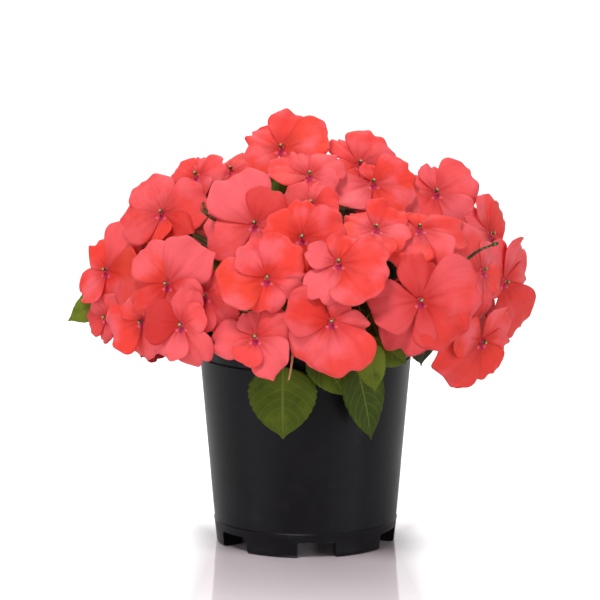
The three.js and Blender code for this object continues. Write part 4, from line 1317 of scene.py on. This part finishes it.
print("a leaf is widest at", max(LEAF_OUTLINE, key=lambda row: row[1])[0], "of its length")

# %% [markdown]
# All leaves start as copies of one grid. Each is bent, put on the place of its plain blade and
# made half a millimetre thick. The leaves of one stem are then joined, as they stand for one plain
# solid.

# %% Grow the leaves
LEAF_COLUMNS = 12
LEAF_STEPS = 54
LEAF_THICKNESS = 0.5 * MM
YOUNGEST_LEAF = 4

flat_leaf = flat_sheet(LEAF_COLUMNS, LEAF_STEPS)
LEAF_ACROSS, LEAF_ALONG = across_and_along(np.array([v.co for v in flat_leaf.data.vertices]))


def leaf_tint_and_painted_shade(number):
    """How fresh a leaf's green is. Leaves inside the shell get a darker green, which is painted
    shade.
    """
    if number == YOUNGEST_LEAF:
        return 1.0
    inside = number >= len(REACHING_LEAVES)
    return (0.0 if inside else 0.55) + 0.4 * spread(number, 16)


def grow_leaf(number):
    """One leaf on the place of its plain blade."""
    pose, length, width, _ = leaves[number]
    along, across, up = leaf_points(LEAF_ACROSS, LEAF_ALONG, length, width, number)
    piece = copy_of(flat_leaf)
    # X of the sheet runs to the leaf's right, which is the pose's -Y.
    set_points(piece, np.column_stack((along, -across, up)) * MM, pose)
    set_attributes(piece, tint=np.full(len(along), leaf_tint_and_painted_shade(number)))
    apply_modifier(piece, "SOLIDIFY", thickness=LEAF_THICKNESS, offset=-1, use_quality_normals=True)
    return piece


def grow_leaves(node):
    """All leaves of one stem, as one piece."""
    own = [grow_leaf(k) for k, (_, stem_node, _) in enumerate(leaf_stalks) if stem_node == node]
    if own:
        leafage = joined(own, f"{node}_leaves")
        return hand_over(leafage, "stem_and_leaf", node, material=LEAF)


leaf_pieces = [grow_leaves(node) for node in STEM_NODES]
bpy.data.objects.remove(flat_leaf)
print([piece.name for piece in leaf_pieces if piece])

# %% [markdown]
# ## Stems, branches and stalks
#
# A leafy stem's green parts are grown as one piece: the main stem, its branch, and every leaf and
# flower stalk on them. All are tubes along the lines that were found above, thick at the foot of a
# stem and thin at the end of a stalk.

# %% Grow the stems
# Radii at the start and the end of each kind of tube.
MAIN_RADII = (3.4 * MM, 1.9 * MM)
BRANCH_RADII = (2.4 * MM, 1.6 * MM)
LEAF_STALK_RADII = (1.5 * MM, 1.1 * MM)
FLOWER_STALK_RADII = (0.8 * MM, 1.1 * MM)


def grow_stem(index):
    """A stem, its branch and all stalks on it, as one piece."""
    node = STEM_NODES[index]
    main, branch = stem_lines(index, 2 * MAIN_STEPS, 14)
    lines = [(main, *MAIN_RADII), (branch, *BRANCH_RADII)]
    for _, stem_node, line in leaf_stalks:
        if stem_node == node:
            lines.append((rounded(line, 9 * MM, 5), *LEAF_STALK_RADII))
    for line in flower_stalks[node]:
        lines.append((rounded(line, 6 * MM, 4), *FLOWER_STALK_RADII))
    return hand_over(tubes(lines, f"{node}_stalks"), "stem_and_leaf", node, material=STEM)


stem_pieces = [grow_stem(index) for index in range(STEM_COUNT)]
print(sum(len(p.data.polygons) for p in stem_pieces), "faces in stems and stalks")

# %% [markdown]
# ## Buds
#
# A few pointed buds stand between the blooms. Each bud of the CAD model ends in one sharp corner
# with five edges of the same length, and nothing else on a stem does, so its five edges tell where
# a bud is and the way it points. The petals of a bud are rolled round each other, so the turned
# shape gets shallow spiral folds.

# %% Find the buds
BUD_CORNERS = 5
BUD_EDGE = math.hypot(2.5, 3.6) * MM  # from the tip of a plain bud to its widest ring
BUD_HALF = 4 * MM


def bud_poses(shape):
    """The pose of each bud in a stem's shape: at its middle, pointing along Z."""
    poses = []
    for v in shape.verts:
        lengths = [edge.calc_length() for edge in v.link_edges]
        if len(lengths) != BUD_CORNERS:
            continue
        if max(abs(length - BUD_EDGE) for length in lengths) < CLOSE / 2:
            ring = centre_of([edge.other_vert(v) for edge in v.link_edges])
            way = (v.co - ring).normalized()
            pose = way.to_track_quat("Z", "Y").to_matrix().to_4x4()
            pose.translation = v.co - way * BUD_HALF
            poses.append(pose)
    return poses


buds = {node: bud_poses(shape) for node, shape in stem_shapes.items()}
for shape in stem_shapes.values():
    shape.free()
print(sum(len(poses) for poses in buds.values()), "buds")

# %% [markdown]
# The shade in the folds between the rolled petals is painted as three dark spiral lines. They are
# drawn from the bud's UV map, like the side veins of a leaf: the place round the bud, moved on
# with the height, counts up to three.

# %% Bud colour
BUD_FOLDS = 3


def bud_material():
    recipe = Recipe("bud")
    around, along = recipe.across_and_along()
    turns = recipe.plus(recipe.times(around, float(BUD_FOLDS)), recipe.times(along, 1.2))
    fold = recipe.fade(recipe.away(recipe.math("FRACT", turns), 0.5), 0.12, 0.0)
    colour = recipe.over(SEPAL_GREEN, recipe.fade(along, 0.3, 0.6), CORAL)
    # Painted shade: dark red along the spiral folds.
    colour = recipe.over(colour, fold, CREASE_AND_SHADE_RED, 0.7)
    recipe.bump(recipe.math("SUBTRACT", 1.0, fold), 0.3 * MM, 0.6)
    return recipe.finish(Base_Color=colour, Roughness=0.45)


BUD = bud_material()
print(BUD.name, "has", BUD_FOLDS, "folds")

# %% [markdown]
# A bud is turned from its profile, like the column. Then its skin is pushed in along the same
# spirals, so that the painted shade lies in the folds.

# %% Grow the buds
BUD_PROFILE = [
    [0.0, -4.2], [1.0, -4.0], [1.5, -3.2], [2.0, -2.2], [2.4, -0.9], [2.5, 0.3], [2.25, 1.5],
    [1.7, 2.6], [1.0, 3.5], [0.45, 4.1], [0.0, 4.4],
]
BUD_SIDES = 20
FOLD_DEPTH = 0.07


def grow_bud(pose):
    bud = spun(BUD_PROFILE, BUD_SIDES, "bud")
    for v in bud.data.vertices:
        turn = math.atan2(v.co.y, v.co.x)
        fold = 1 + FOLD_DEPTH * math.sin(BUD_FOLDS * turn + 7 * v.co.z / BUD_HALF)
        v.co.x, v.co.y = v.co.x * fold, v.co.y * fold
    bud.data.transform(pose)
    return bud


def grow_buds(node):
    """All buds of one stem, as one piece."""
    own = [grow_bud(pose) for pose in buds[node]]
    if own:
        return hand_over(joined(own, f"{node}_buds"), "petal", node, material=BUD)


bud_pieces = [grow_buds(node) for node in STEM_NODES]
print([piece.name for piece in bud_pieces if piece])

# %% [markdown]
# ## Spent flower stalks and one long spur
#
# A bloom that is over drops its petals, and its green stalk stays for a while with a small dark
# seed pod at the tip. Two of them stand out between the blooms. Below the front blooms one pale
# spur hangs down over a leaf. They are tubes like the other stalks, and a pod is a stretched ball.

# %% Spent stalks
POD_BROWN = (0.032, 0.024, 0.008)
SPENT_STALKS = [
    {"through": (90.5, -53, 166.5), "tip": (98.6, -58, 170.3), "pod": 1.6},
    {"through": (-51.8, -62, 186.6), "tip": (-53.3, -64, 192.1), "pod": 0.9},
]
SPENT_STALK_RADII = (1.0 * MM, 0.55 * MM)
POD_STRETCH = (0.7, 0.7, 1.5, 1)


def pod_material():
    recipe = Recipe("seed_pod")
    specks = recipe.noise(900.0, recipe.place())
    colour = recipe.over(POD_BROWN, recipe.fade(specks, 0.5, 0.7), SEPAL_GREEN)
    return recipe.finish(Base_Color=colour, Roughness=0.5)


def nearest_stem(place):
    """The joint that is nearest to a place, and the node of its stem."""
    pairs = ((joint, node) for own, node in zip(joints, STEM_NODES) for joint in own)
    return min(pairs, key=lambda pair: (pair[0] - place).length)


def spent_stalk(number, row):
    """A stalk from the nearest joint, and its pod, as pieces of that joint's stem."""
    through, tip = from_axis(row["through"]), from_axis(row["tip"])
    joint, node = nearest_stem(through)
    line = rounded([joint, through, tip], 6 * MM, 4)
    stalk = tubes([(line, *SPENT_STALK_RADII)], f"spent_stalk_{number + 1}")
    hand_over(stalk, "stem_and_leaf", node, material=POD)
    bpy.ops.mesh.primitive_uv_sphere_add(segments=14, ring_count=9, radius=row["pod"] * MM)
    pod = bpy.context.object
    pod.name = f"seed_pod_{number + 1}"
    turn = (tip - through).normalized().to_track_quat("Z", "Y").to_matrix().to_4x4()
    pod.data.transform(Matrix.Translation(tip) @ turn @ Matrix.Diagonal(POD_STRETCH))
    return hand_over(pod, "stem_and_leaf", node, material=POD)


POD = pod_material()
pods = [spent_stalk(number, row) for number, row in enumerate(SPENT_STALKS)]
print(len(pods), "spent stalks")

# %% [markdown]
# The one long spur is drawn through four places and belongs to the bloom above it.

# %% The long spur
LONG_SPUR = [(-4.6, -78, 124), (-6.6, -84, 118.3), (-7.4, -86, 110.8), (-8.9, -87, 103.6)]
LONG_SPUR_RADII = (0.9 * MM, 0.45 * MM)
LONG_SPUR_BLOOM = "bloom_28"

spur_places = rounded([from_axis(place) for place in LONG_SPUR])
long_spur = tubes([(spur_places, *LONG_SPUR_RADII)], "long_spur")
hand_over(long_spur, "petal", LONG_SPUR_BLOOM, material=SPUR)
print("the long spur hangs from", LONG_SPUR_BLOOM)

# %% [markdown]
# ## The pot
#
# The pot is one thin moulding: a tapered wall, a taller rim band set in above a small ledge, a
# base band, and six feet with gaps between them. A round pot is turned from its profile, as clay
# is on a wheel. The gaps and the drain holes can't come from turning, so they are cut out
# afterwards.

# %% Pot colour
POT_BLACK = (0.0030, 0.0028, 0.0048)
POT_GREY = (0.0083, 0.0081, 0.0115)
POT_DUST = (0.1, 0.085, 0.07)


def pot_material():
    recipe = Recipe("moulded_black_plastic")
    place = recipe.place()
    grain = recipe.noise(1400.0, place, 3.0)
    handling = recipe.noise(28.0, place, 4.0)
    dust = recipe.noise(120.0, place, 5.0)
    colour = recipe.over(POT_BLACK, recipe.fade(handling, 0.4, 0.75), POT_GREY, 0.6)
    colour = recipe.over(colour, recipe.fade(dust, 0.58, 0.75), POT_DUST, 0.03)
    rough = recipe.plus(recipe.times(handling, 0.22), 0.25)
    recipe.bump(grain, 0.1 * MM, 0.35)
    return recipe.finish(Base_Color=colour, Roughness=rough, Specular_IOR_Level=0.17)


POT_PLASTIC = pot_material()
print(POT_PLASTIC.name, "has", len(POT_PLASTIC.node_tree.nodes), "nodes")

# %% [markdown]
# The profile is half of the pot's outline, walked from the middle of the floor's underside round
# the foot, up the outside, over the lip and down to the floor again. Each edge that a mould would
# leave round gets two or three points close together.

# %% The pot's profile
BASE_RADIUS = 48.4
LEDGE_RADIUS = 57.1
LEDGE_HEIGHT = 102
BAND_STEP = 0.4
BAND_HEIGHT = 12.8
FOOT_DEPTH = 12
LIP_RADIUS = 57.5
WALL = 1.8
FLOOR_LOW = 9
FLOOR_HIGH = 11
DRAIN_RING = 12
LIP_INSIDE = LIP_RADIUS - WALL - 0.6
POT_TOP = POT_HEIGHT / MM


def wall_radius(z):
    return BASE_RADIUS + (LEDGE_RADIUS - BASE_RADIUS) * z / LEDGE_HEIGHT


FLOOR_RADIUS = wall_radius(FLOOR_HIGH) - WALL
POT_FOOT = [
    [0, FLOOR_LOW], [DRAIN_RING, FLOOR_LOW],
    [wall_radius(FLOOR_LOW) - FOOT_DEPTH - 0.8, FLOOR_LOW],
    [wall_radius(FLOOR_LOW) - FOOT_DEPTH, FLOOR_LOW - 0.8],
    [wall_radius(0) - FOOT_DEPTH, 0.8], [wall_radius(0) - FOOT_DEPTH + 0.8, 0],
    [wall_radius(0) - 1.6, 0], [wall_radius(0) - 0.5, 0.35], [wall_radius(0) + 0.1, 1.2],
    [wall_radius(0) + 0.2, 2.8], [wall_radius(BAND_HEIGHT - 0.8) + 0.2, BAND_HEIGHT - 0.8],
    [wall_radius(BAND_HEIGHT) + BAND_STEP, BAND_HEIGHT - 0.3],
    [wall_radius(BAND_HEIGHT) + BAND_STEP, BAND_HEIGHT + 0.1],
    [wall_radius(BAND_HEIGHT) + 0.02, BAND_HEIGHT + 0.7],
]
POT_WALL = [
    [wall_radius(35), 35], [wall_radius(60), 60], [wall_radius(85), 85],
    [wall_radius(LEDGE_HEIGHT - 1), LEDGE_HEIGHT - 1],
    [LEDGE_RADIUS + 0.1, LEDGE_HEIGHT - 0.4], [LEDGE_RADIUS - 0.1, LEDGE_HEIGHT + 0.1],
    [LEDGE_RADIUS - 0.7, LEDGE_HEIGHT + 0.5], [LEDGE_RADIUS - 0.75, LEDGE_HEIGHT + 1.2],
]
POT_LIP = [
    [LIP_RADIUS - 0.1, POT_TOP - 2.2], [LIP_RADIUS, POT_TOP - 0.9],
    [LIP_RADIUS - 0.35, POT_TOP - 0.2], [LIP_RADIUS - 0.9, POT_TOP],
    [LIP_INSIDE + 0.5, POT_TOP], [LIP_INSIDE, POT_TOP - 0.6],
]
POT_FLOOR = [
    [FLOOR_RADIUS + 0.6, FLOOR_HIGH + 1.2], [FLOOR_RADIUS - 0.8, FLOOR_HIGH],
    [DRAIN_RING, FLOOR_HIGH], [0, FLOOR_HIGH],
]
print(f"the pot is {POT_TOP:.0f} mm high and {2 * LIP_RADIUS:.0f} mm wide at its lip")

# %% [markdown]
# The outline is spun in 144 steps, which is enough for a smooth rim, and moved to the pot's axis.

# %% Turn the pot
POT_STEPS = 144


def turned(profile, steps, name):
    """A body of revolution round the pot's axis from [radius, height] pairs in millimetres."""
    piece = spun(profile, steps, name)
    piece.data.transform(Matrix.Translation(POT_AXIS))
    return piece


pot = turned([*POT_FOOT, *POT_WALL, *POT_LIP, *POT_FLOOR], POT_STEPS, "nursery_pot")
print(len(pot.data.polygons), "faces in the turned pot")

# %% [markdown]
# The six feet are what is left of the ring below the floor when six slots are cut through it.
# Slots and drain holes are joined into one cutter, so that a single Boolean takes them all out.

# %% Cut the gaps between the feet, and the drain holes
FEET = 6
FIRST_GAP = 7.2
GAP_ANGLE = 25
GAP_WIDTH = 2 * BASE_RADIUS * math.sin(math.radians(GAP_ANGLE / 2))
GAP_HEIGHT = 8.7
GAP_LENGTH = 40
GAP_ROUNDING = 1.5
DRAIN_RADIUS = 4
DRAIN_CIRCLE = 29


def gap_cutter(turn):
    """A rounded block that stands across the wall in the direction turn."""
    bpy.ops.mesh.primitive_cube_add(size=1)
    cutter = bpy.context.object
    size = Vector((GAP_WIDTH, GAP_LENGTH, 2 * GAP_HEIGHT)) * MM
    cutter.data.transform(Matrix.Diagonal((*size, 1)))
    apply_modifier(cutter, "BEVEL", width=GAP_ROUNDING * MM, segments=4, limit_method="ANGLE")
    cutter.data.transform(Matrix.Rotation(math.radians(turn), 4, "Z"))
    cutter.data.transform(Matrix.Translation(facing(turn, 0) * BASE_RADIUS * MM + POT_AXIS))
    return cutter


def drain_cutter(turn):
    middle = Vector((0, 0, (FLOOR_LOW + FLOOR_HIGH) / 2))
    bpy.ops.mesh.primitive_cylinder_add(
        vertices=32, radius=DRAIN_RADIUS * MM, depth=8 * MM,
        location=from_axis(facing(turn, 0) * DRAIN_CIRCLE + middle))
    bpy.ops.object.transform_apply(location=True)
    return bpy.context.object


turns = [FIRST_GAP + k * 360 / FEET for k in range(FEET)]
cutters = [*map(gap_cutter, turns), *(drain_cutter(turn + 180 / FEET) for turn in turns)]
cutter = joined(cutters, "pot_cutter")
apply_modifier(pot, "BOOLEAN", operation="DIFFERENCE", object=cutter, solver="EXACT")
bpy.data.objects.remove(cutter)
hand_over(pot, "pot_plastic", "pot", material=POT_PLASTIC, angle=32)
print(len(pot.data.polygons), "faces in the cut pot")

# %% [markdown]
# ## The growing medium
#
# Peat fills the pot to a finger's width below its lip. Its top is turned as a flat disc with many
# rings first, and then its points are moved up and down: broad bumps where it settled and fine
# crumbs on them. Loose crumbs lie on top.

# %% Peat colour
PEAT_DARK = (0.022, 0.012, 0.007)
PEAT_LIGHT = (0.075, 0.042, 0.024)
FIBRE_TAN = (0.16, 0.1, 0.06)


def peat_material():
    recipe = Recipe("peat")
    place = recipe.place()
    lumps = recipe.noise(220.0, place, 5.0)
    fibres = recipe.noise(1500.0, place)
    colour = recipe.over(PEAT_DARK, recipe.fade(lumps, 0.35, 0.65), PEAT_LIGHT)
    colour = recipe.over(colour, recipe.fade(fibres, 0.55, 0.7), FIBRE_TAN, 0.5)
    recipe.bump(recipe.plus(lumps, recipe.times(fibres, 0.3)), 1.2 * MM, 0.8)
    return recipe.finish(Base_Color=colour, Roughness=0.92, Specular_IOR_Level=0.25)


PEAT = peat_material()
print(PEAT.name, "has", len(PEAT.node_tree.nodes), "nodes")

# %% [markdown]
# The bed fills the pot as one solid. Many narrow rings on its top give the bumps enough points.

# %% The bed of peat
RINGS = 26
BED_SIDES = 90
RIM_GAP = 0.7


def inside_radius(z):
    return FLOOR_RADIUS + (LIP_INSIDE - FLOOR_RADIUS) * (z - FLOOR_HIGH) / (POT_TOP - FLOOR_HIGH)


def bed_of_peat():
    """A disc of many rings on a plain plug that fills the pot, with bumps and crumbs on top."""
    rim = inside_radius(SOIL_TOP) - RIM_GAP
    rings = [[rim * (1 - k / RINGS), SOIL_TOP] for k in range(RINGS)]
    bottom = FLOOR_HIGH + 0.4
    bed = turned([[0, bottom], [inside_radius(FLOOR_HIGH) - 0.9, bottom],
                  [inside_radius(SOIL_TOP - 2) - 0.5, SOIL_TOP - 2], *rings, [0, SOIL_TOP]],
                 BED_SIDES, "peat_bed")
    for v in bed.data.vertices:
        if v.co.z > (SOIL_TOP - 1) * MM:
            x, y = (v.co.x - POT_AXIS.x) / MM, (v.co.y - POT_AXIS.y) / MM
            bumps = 0.7 * math.sin(0.11 * x + 1.3) + 0.6 * math.cos(0.13 * y - 0.8)
            crumbs = 0.5 * math.sin(0.9 * x + 0.6 * y) * math.cos(0.7 * y - 0.5 * x)
            v.co.z += (bumps + crumbs - 0.4) * MM
    return bed


bed = bed_of_peat()
print(len(bed.data.polygons), "faces in the bed of peat")

# %% [markdown]
# Each crumb is a rough ball with dented corners. The square root in its distance from the middle
# spreads the crumbs evenly over the bed. All of them are joined to it.

# %% Loose crumbs
CRUMBS = 140
# What crumbs differ in: the least, and how much more. Radii are in millimetres, places in parts.
CRUMB_RADIUS = (0.9, 1.6)
CRUMB_PLACE = (0.08, 0.86)
CRUMB_DENT = (0.65, 0.6)
CRUMB_LIFT = 0.4


def make_crumb(n):
    """A small lump of peat that is stretched and dented in its own way."""
    radius = (CRUMB_RADIUS[0] + CRUMB_RADIUS[1] * spread(n, 2) ** 2) * MM
    turn = FULL_TURN * spread(n)
    part = CRUMB_PLACE[0] + CRUMB_PLACE[1] * spread(n, 1) ** 0.5
    out = part * inside_radius(SOIL_TOP) * MM
    off = Vector((math.cos(turn) * out, math.sin(turn) * out, (SOIL_TOP + CRUMB_LIFT) * MM))
    place = POT_AXIS + off
    bpy.ops.mesh.primitive_ico_sphere_add(subdivisions=1, radius=radius, location=place)
    crumb = bpy.context.object
    bpy.ops.object.transform_apply(location=True)
    for k, v in enumerate(crumb.data.vertices):
        dent = CRUMB_DENT[0] + CRUMB_DENT[1] * spread(12 * n + k, 3)
        v.co = place + (v.co - place) * dent
    return crumb


soil = joined([bed, *map(make_crumb, range(CRUMBS))], "peat")
hand_over(soil, "peat", "growing_medium", material=PEAT, angle=60)
print(len(soil.data.polygons), "faces in the peat")

# %% [markdown]
# ## Floor, lights and camera
#
# The plant stands on a pale glossy floor. It glows a little away from the pot, but only to the
# eye, so that it lights nothing: that glow is painted light that hides the plant's shadows beside
# and behind the pot. Right in front of the pot, where the floor mirrors it, the glow comes in
# slowly, a painted soft shadow, and a mauve tint of the mirror image is painted into the floor.

# %% Floor
FLOOR_WHITE = (0.9, 0.89, 0.895)
# Mauve is painted into the floor in front of the pot as a tint of its mirror image.
MAUVE_PAINTED_REFLECTION = (0.9, 0.80, 0.85)
NEAR_GLOW = 0.24
FAR_GLOW = 0.42
FLOOR_SIZE = 12
# Metres from the pot's axis over which the clear floor comes in: beside it, behind it and far off.
CLEAR_BESIDE = (0.047, 0.07)
CLEAR_BEHIND = (0.0, 0.06)
CLEAR_FAR = (0.2, 0.45)


def clear_floor(recipe, away):
    """1 where the floor shows no mirror image of the pot: beside it, behind it and far from it."""
    # Beside, behind and far off, the full glow is painted light that hides the shadows.
    place = recipe.place()
    across = recipe.node("ShaderNodeSeparateXYZ", output="X", Vector=place)
    backward = recipe.node("ShaderNodeSeparateXYZ", output="Y", Vector=place)
    beside = recipe.fade(recipe.away(across, POT_AXIS.x), *CLEAR_BESIDE)
    behind = recipe.fade(recipe.math("SUBTRACT", backward, POT_AXIS.y), *CLEAR_BEHIND)
    clear = recipe.math("MAXIMUM", beside, behind)
    return recipe.math("MAXIMUM", clear, recipe.fade(away, *CLEAR_FAR))


def floor_material():
    recipe = Recipe("studio_floor")
    haze = recipe.noise(3.0, recipe.place())
    rough = recipe.plus(recipe.times(haze, 0.03), 0.04)
    centre = recipe.node("ShaderNodeCombineXYZ", X=POT_AXIS.x, Y=POT_AXIS.y, Z=0.0)
    away = recipe.pair("ShaderNodeVectorMath", "DISTANCE", recipe.place(), centre, output=1)
    clear = clear_floor(recipe, away)
    # Painted soft shadow: the glow is weaker close round the pot.
    near_glow = recipe.times(recipe.fade(away, 0.04, 0.2), NEAR_GLOW)
    glow = recipe.math("MAXIMUM", near_glow, recipe.times(clear, FAR_GLOW))
    seen = recipe.times(glow, recipe.node("ShaderNodeLightPath", output="Is Camera Ray"))
    return recipe.finish(Base_Color=recipe.over(MAUVE_PAINTED_REFLECTION, clear, FLOOR_WHITE), Roughness=rough,
                         Specular_IOR_Level=1.0, IOR=1.9, Emission_Color=(1.0, 1.0, 1.0),
                         Emission_Strength=seen)


bpy.ops.mesh.primitive_plane_add(size=FLOOR_SIZE, location=(0, 0, 0))
floor = bpy.context.object
floor.name = "studio_floor"
floor.data.materials.append(floor_material())
print("the floor is", FLOOR_SIZE, "m wide")

# %% [markdown]
# Soft studio lights stand round the plant. A large one above and in front lights the blooms, tall
# narrow ones at the sides draw the long highlights on the pot, and two behind brighten the petals'
# edges. The floor would mirror the hard edges of the lower one behind, so it throws no reflection.

# %% Lights
BLOOMS = (POT_AXIS.x, POT_AXIS.y, 0.14)
POT_MIDDLE = (POT_AXIS.x, POT_AXIS.y, 0.07)
# Each lamp's place, what it shines at, its width and height in metres, and its power in watts.
LIGHTS = {
    "key_above_front": ((-0.35, -0.9, 1.6), BLOOMS, (0.55, 0.4), 18.5),
    "fill_right": ((1.2, -0.9, 0.8), BLOOMS, (0.6, 1.0), 2),
    "strip_left": ((-1.1, -0.6, 0.3), POT_MIDDLE, (0.12, 0.6), 1.2),
    "strip_right": ((1.1, -0.6, 0.3), POT_MIDDLE, (0.12, 0.6), 1.2),
    "soft_left": ((-0.85, -0.95, 0.35), POT_MIDDLE, (0.16, 0.8), 1.1),
    "soft_right": ((0.85, -0.95, 0.35), POT_MIDDLE, (0.16, 0.8), 1.1),
    "top_back": ((0.1, 0.8, 1.4), BLOOMS, (0.8, 0.6), 10),
    "fill_back": ((-0.8, 1.0, 0.7), BLOOMS, (0.8, 0.6), 4),
}


def add_light(name, place, target, size, watts):
    light = bpy.data.lights.new(name, "AREA")
    light.shape = "RECTANGLE"
    light.size, light.size_y = size
    light.energy = watts
    lamp = bpy.data.objects.new(name, light)
    bpy.context.collection.objects.link(lamp)
    lamp.location = place
    lamp.rotation_euler = (Vector(target) - Vector(place)).to_track_quat("-Z", "Y").to_euler()
    return lamp


lamps = {name: add_light(name, *row) for name, row in LIGHTS.items()}
lamps["fill_back"].visible_glossy = False
print(", ".join(lamps))

# %% [markdown]
# Round the studio runs a low white backdrop. It is bright where the floor mirrors it, and dimmer
# higher up, so that the light on the plant still has a direction. The world is that backdrop: its
# strength falls with the height of the direction, and what the camera sees of it is plain white.

# %% Backdrop
BACKDROP_LOW = 1.25
BACKDROP_HIGH = 0.08
BACKDROP_EDGE = (0.19, 0.33)  # the sines of the heights between which it falls off


def studio_world():
    world = bpy.data.worlds.new("studio")
    world.use_nodes = True
    tree = world.node_tree
    put, link = tree.nodes.new, tree.links.new
    split = put("ShaderNodeSeparateXYZ")
    link(put("ShaderNodeTexCoord").outputs["Generated"], split.inputs[0])
    falling = put("ShaderNodeMapRange")
    falling.interpolation_type = "SMOOTHSTEP"
    link(split.outputs["Z"], falling.inputs["Value"])
    ends = zip(("From Min", "From Max", "To Min", "To Max"),
               (*BACKDROP_EDGE, BACKDROP_LOW, BACKDROP_HIGH))
    for name, value in ends:
        falling.inputs[name].default_value = value
    seen = put("ShaderNodeMix")
    link(put("ShaderNodeLightPath").outputs["Is Camera Ray"], seen.inputs[0])
    link(falling.outputs["Result"], seen.inputs[2])
    seen.inputs[3].default_value = 1.0
    link(seen.outputs[0], tree.nodes["Background"].inputs["Strength"])
    tree.nodes["Background"].inputs["Color"].default_value = (1, 1, 1, 1)
    return world


bpy.context.scene.world = studio_world()
bpy.context.scene.view_settings.view_transform = "Standard"
print("the backdrop falls from", BACKDROP_LOW, "to", BACKDROP_HIGH)

# %% [markdown]
# The camera stands far away with a long lens, a little above the plant, so that the pot's sides
# look nearly straight and its rim shows as a flat oval.

# %% Camera
CAMERA_LIFT = 9
CAMERA_DISTANCE = 1.8
CAMERA_LENS = 200
CAMERA_TARGET = POT_AXIS + Vector((-0.003, 0, 0.1316))

camera_data = bpy.data.cameras.new("camera")
camera_data.lens = CAMERA_LENS
camera_data.sensor_width = 36
camera_data.clip_end = 50
camera = bpy.data.objects.new("camera", camera_data)
bpy.context.collection.objects.link(camera)
camera.location = CAMERA_TARGET + facing(0, CAMERA_LIFT) * CAMERA_DISTANCE
camera.rotation_euler = (CAMERA_TARGET - camera.location).to_track_quat("-Z", "Y").to_euler()
bpy.context.scene.camera = camera
print("the camera stands", CAMERA_DISTANCE, "m away")

# %% [markdown]
# ## The end
#
# Last, the view layer is brought up to date.

# %% Finish
bpy.context.view_layer.update()
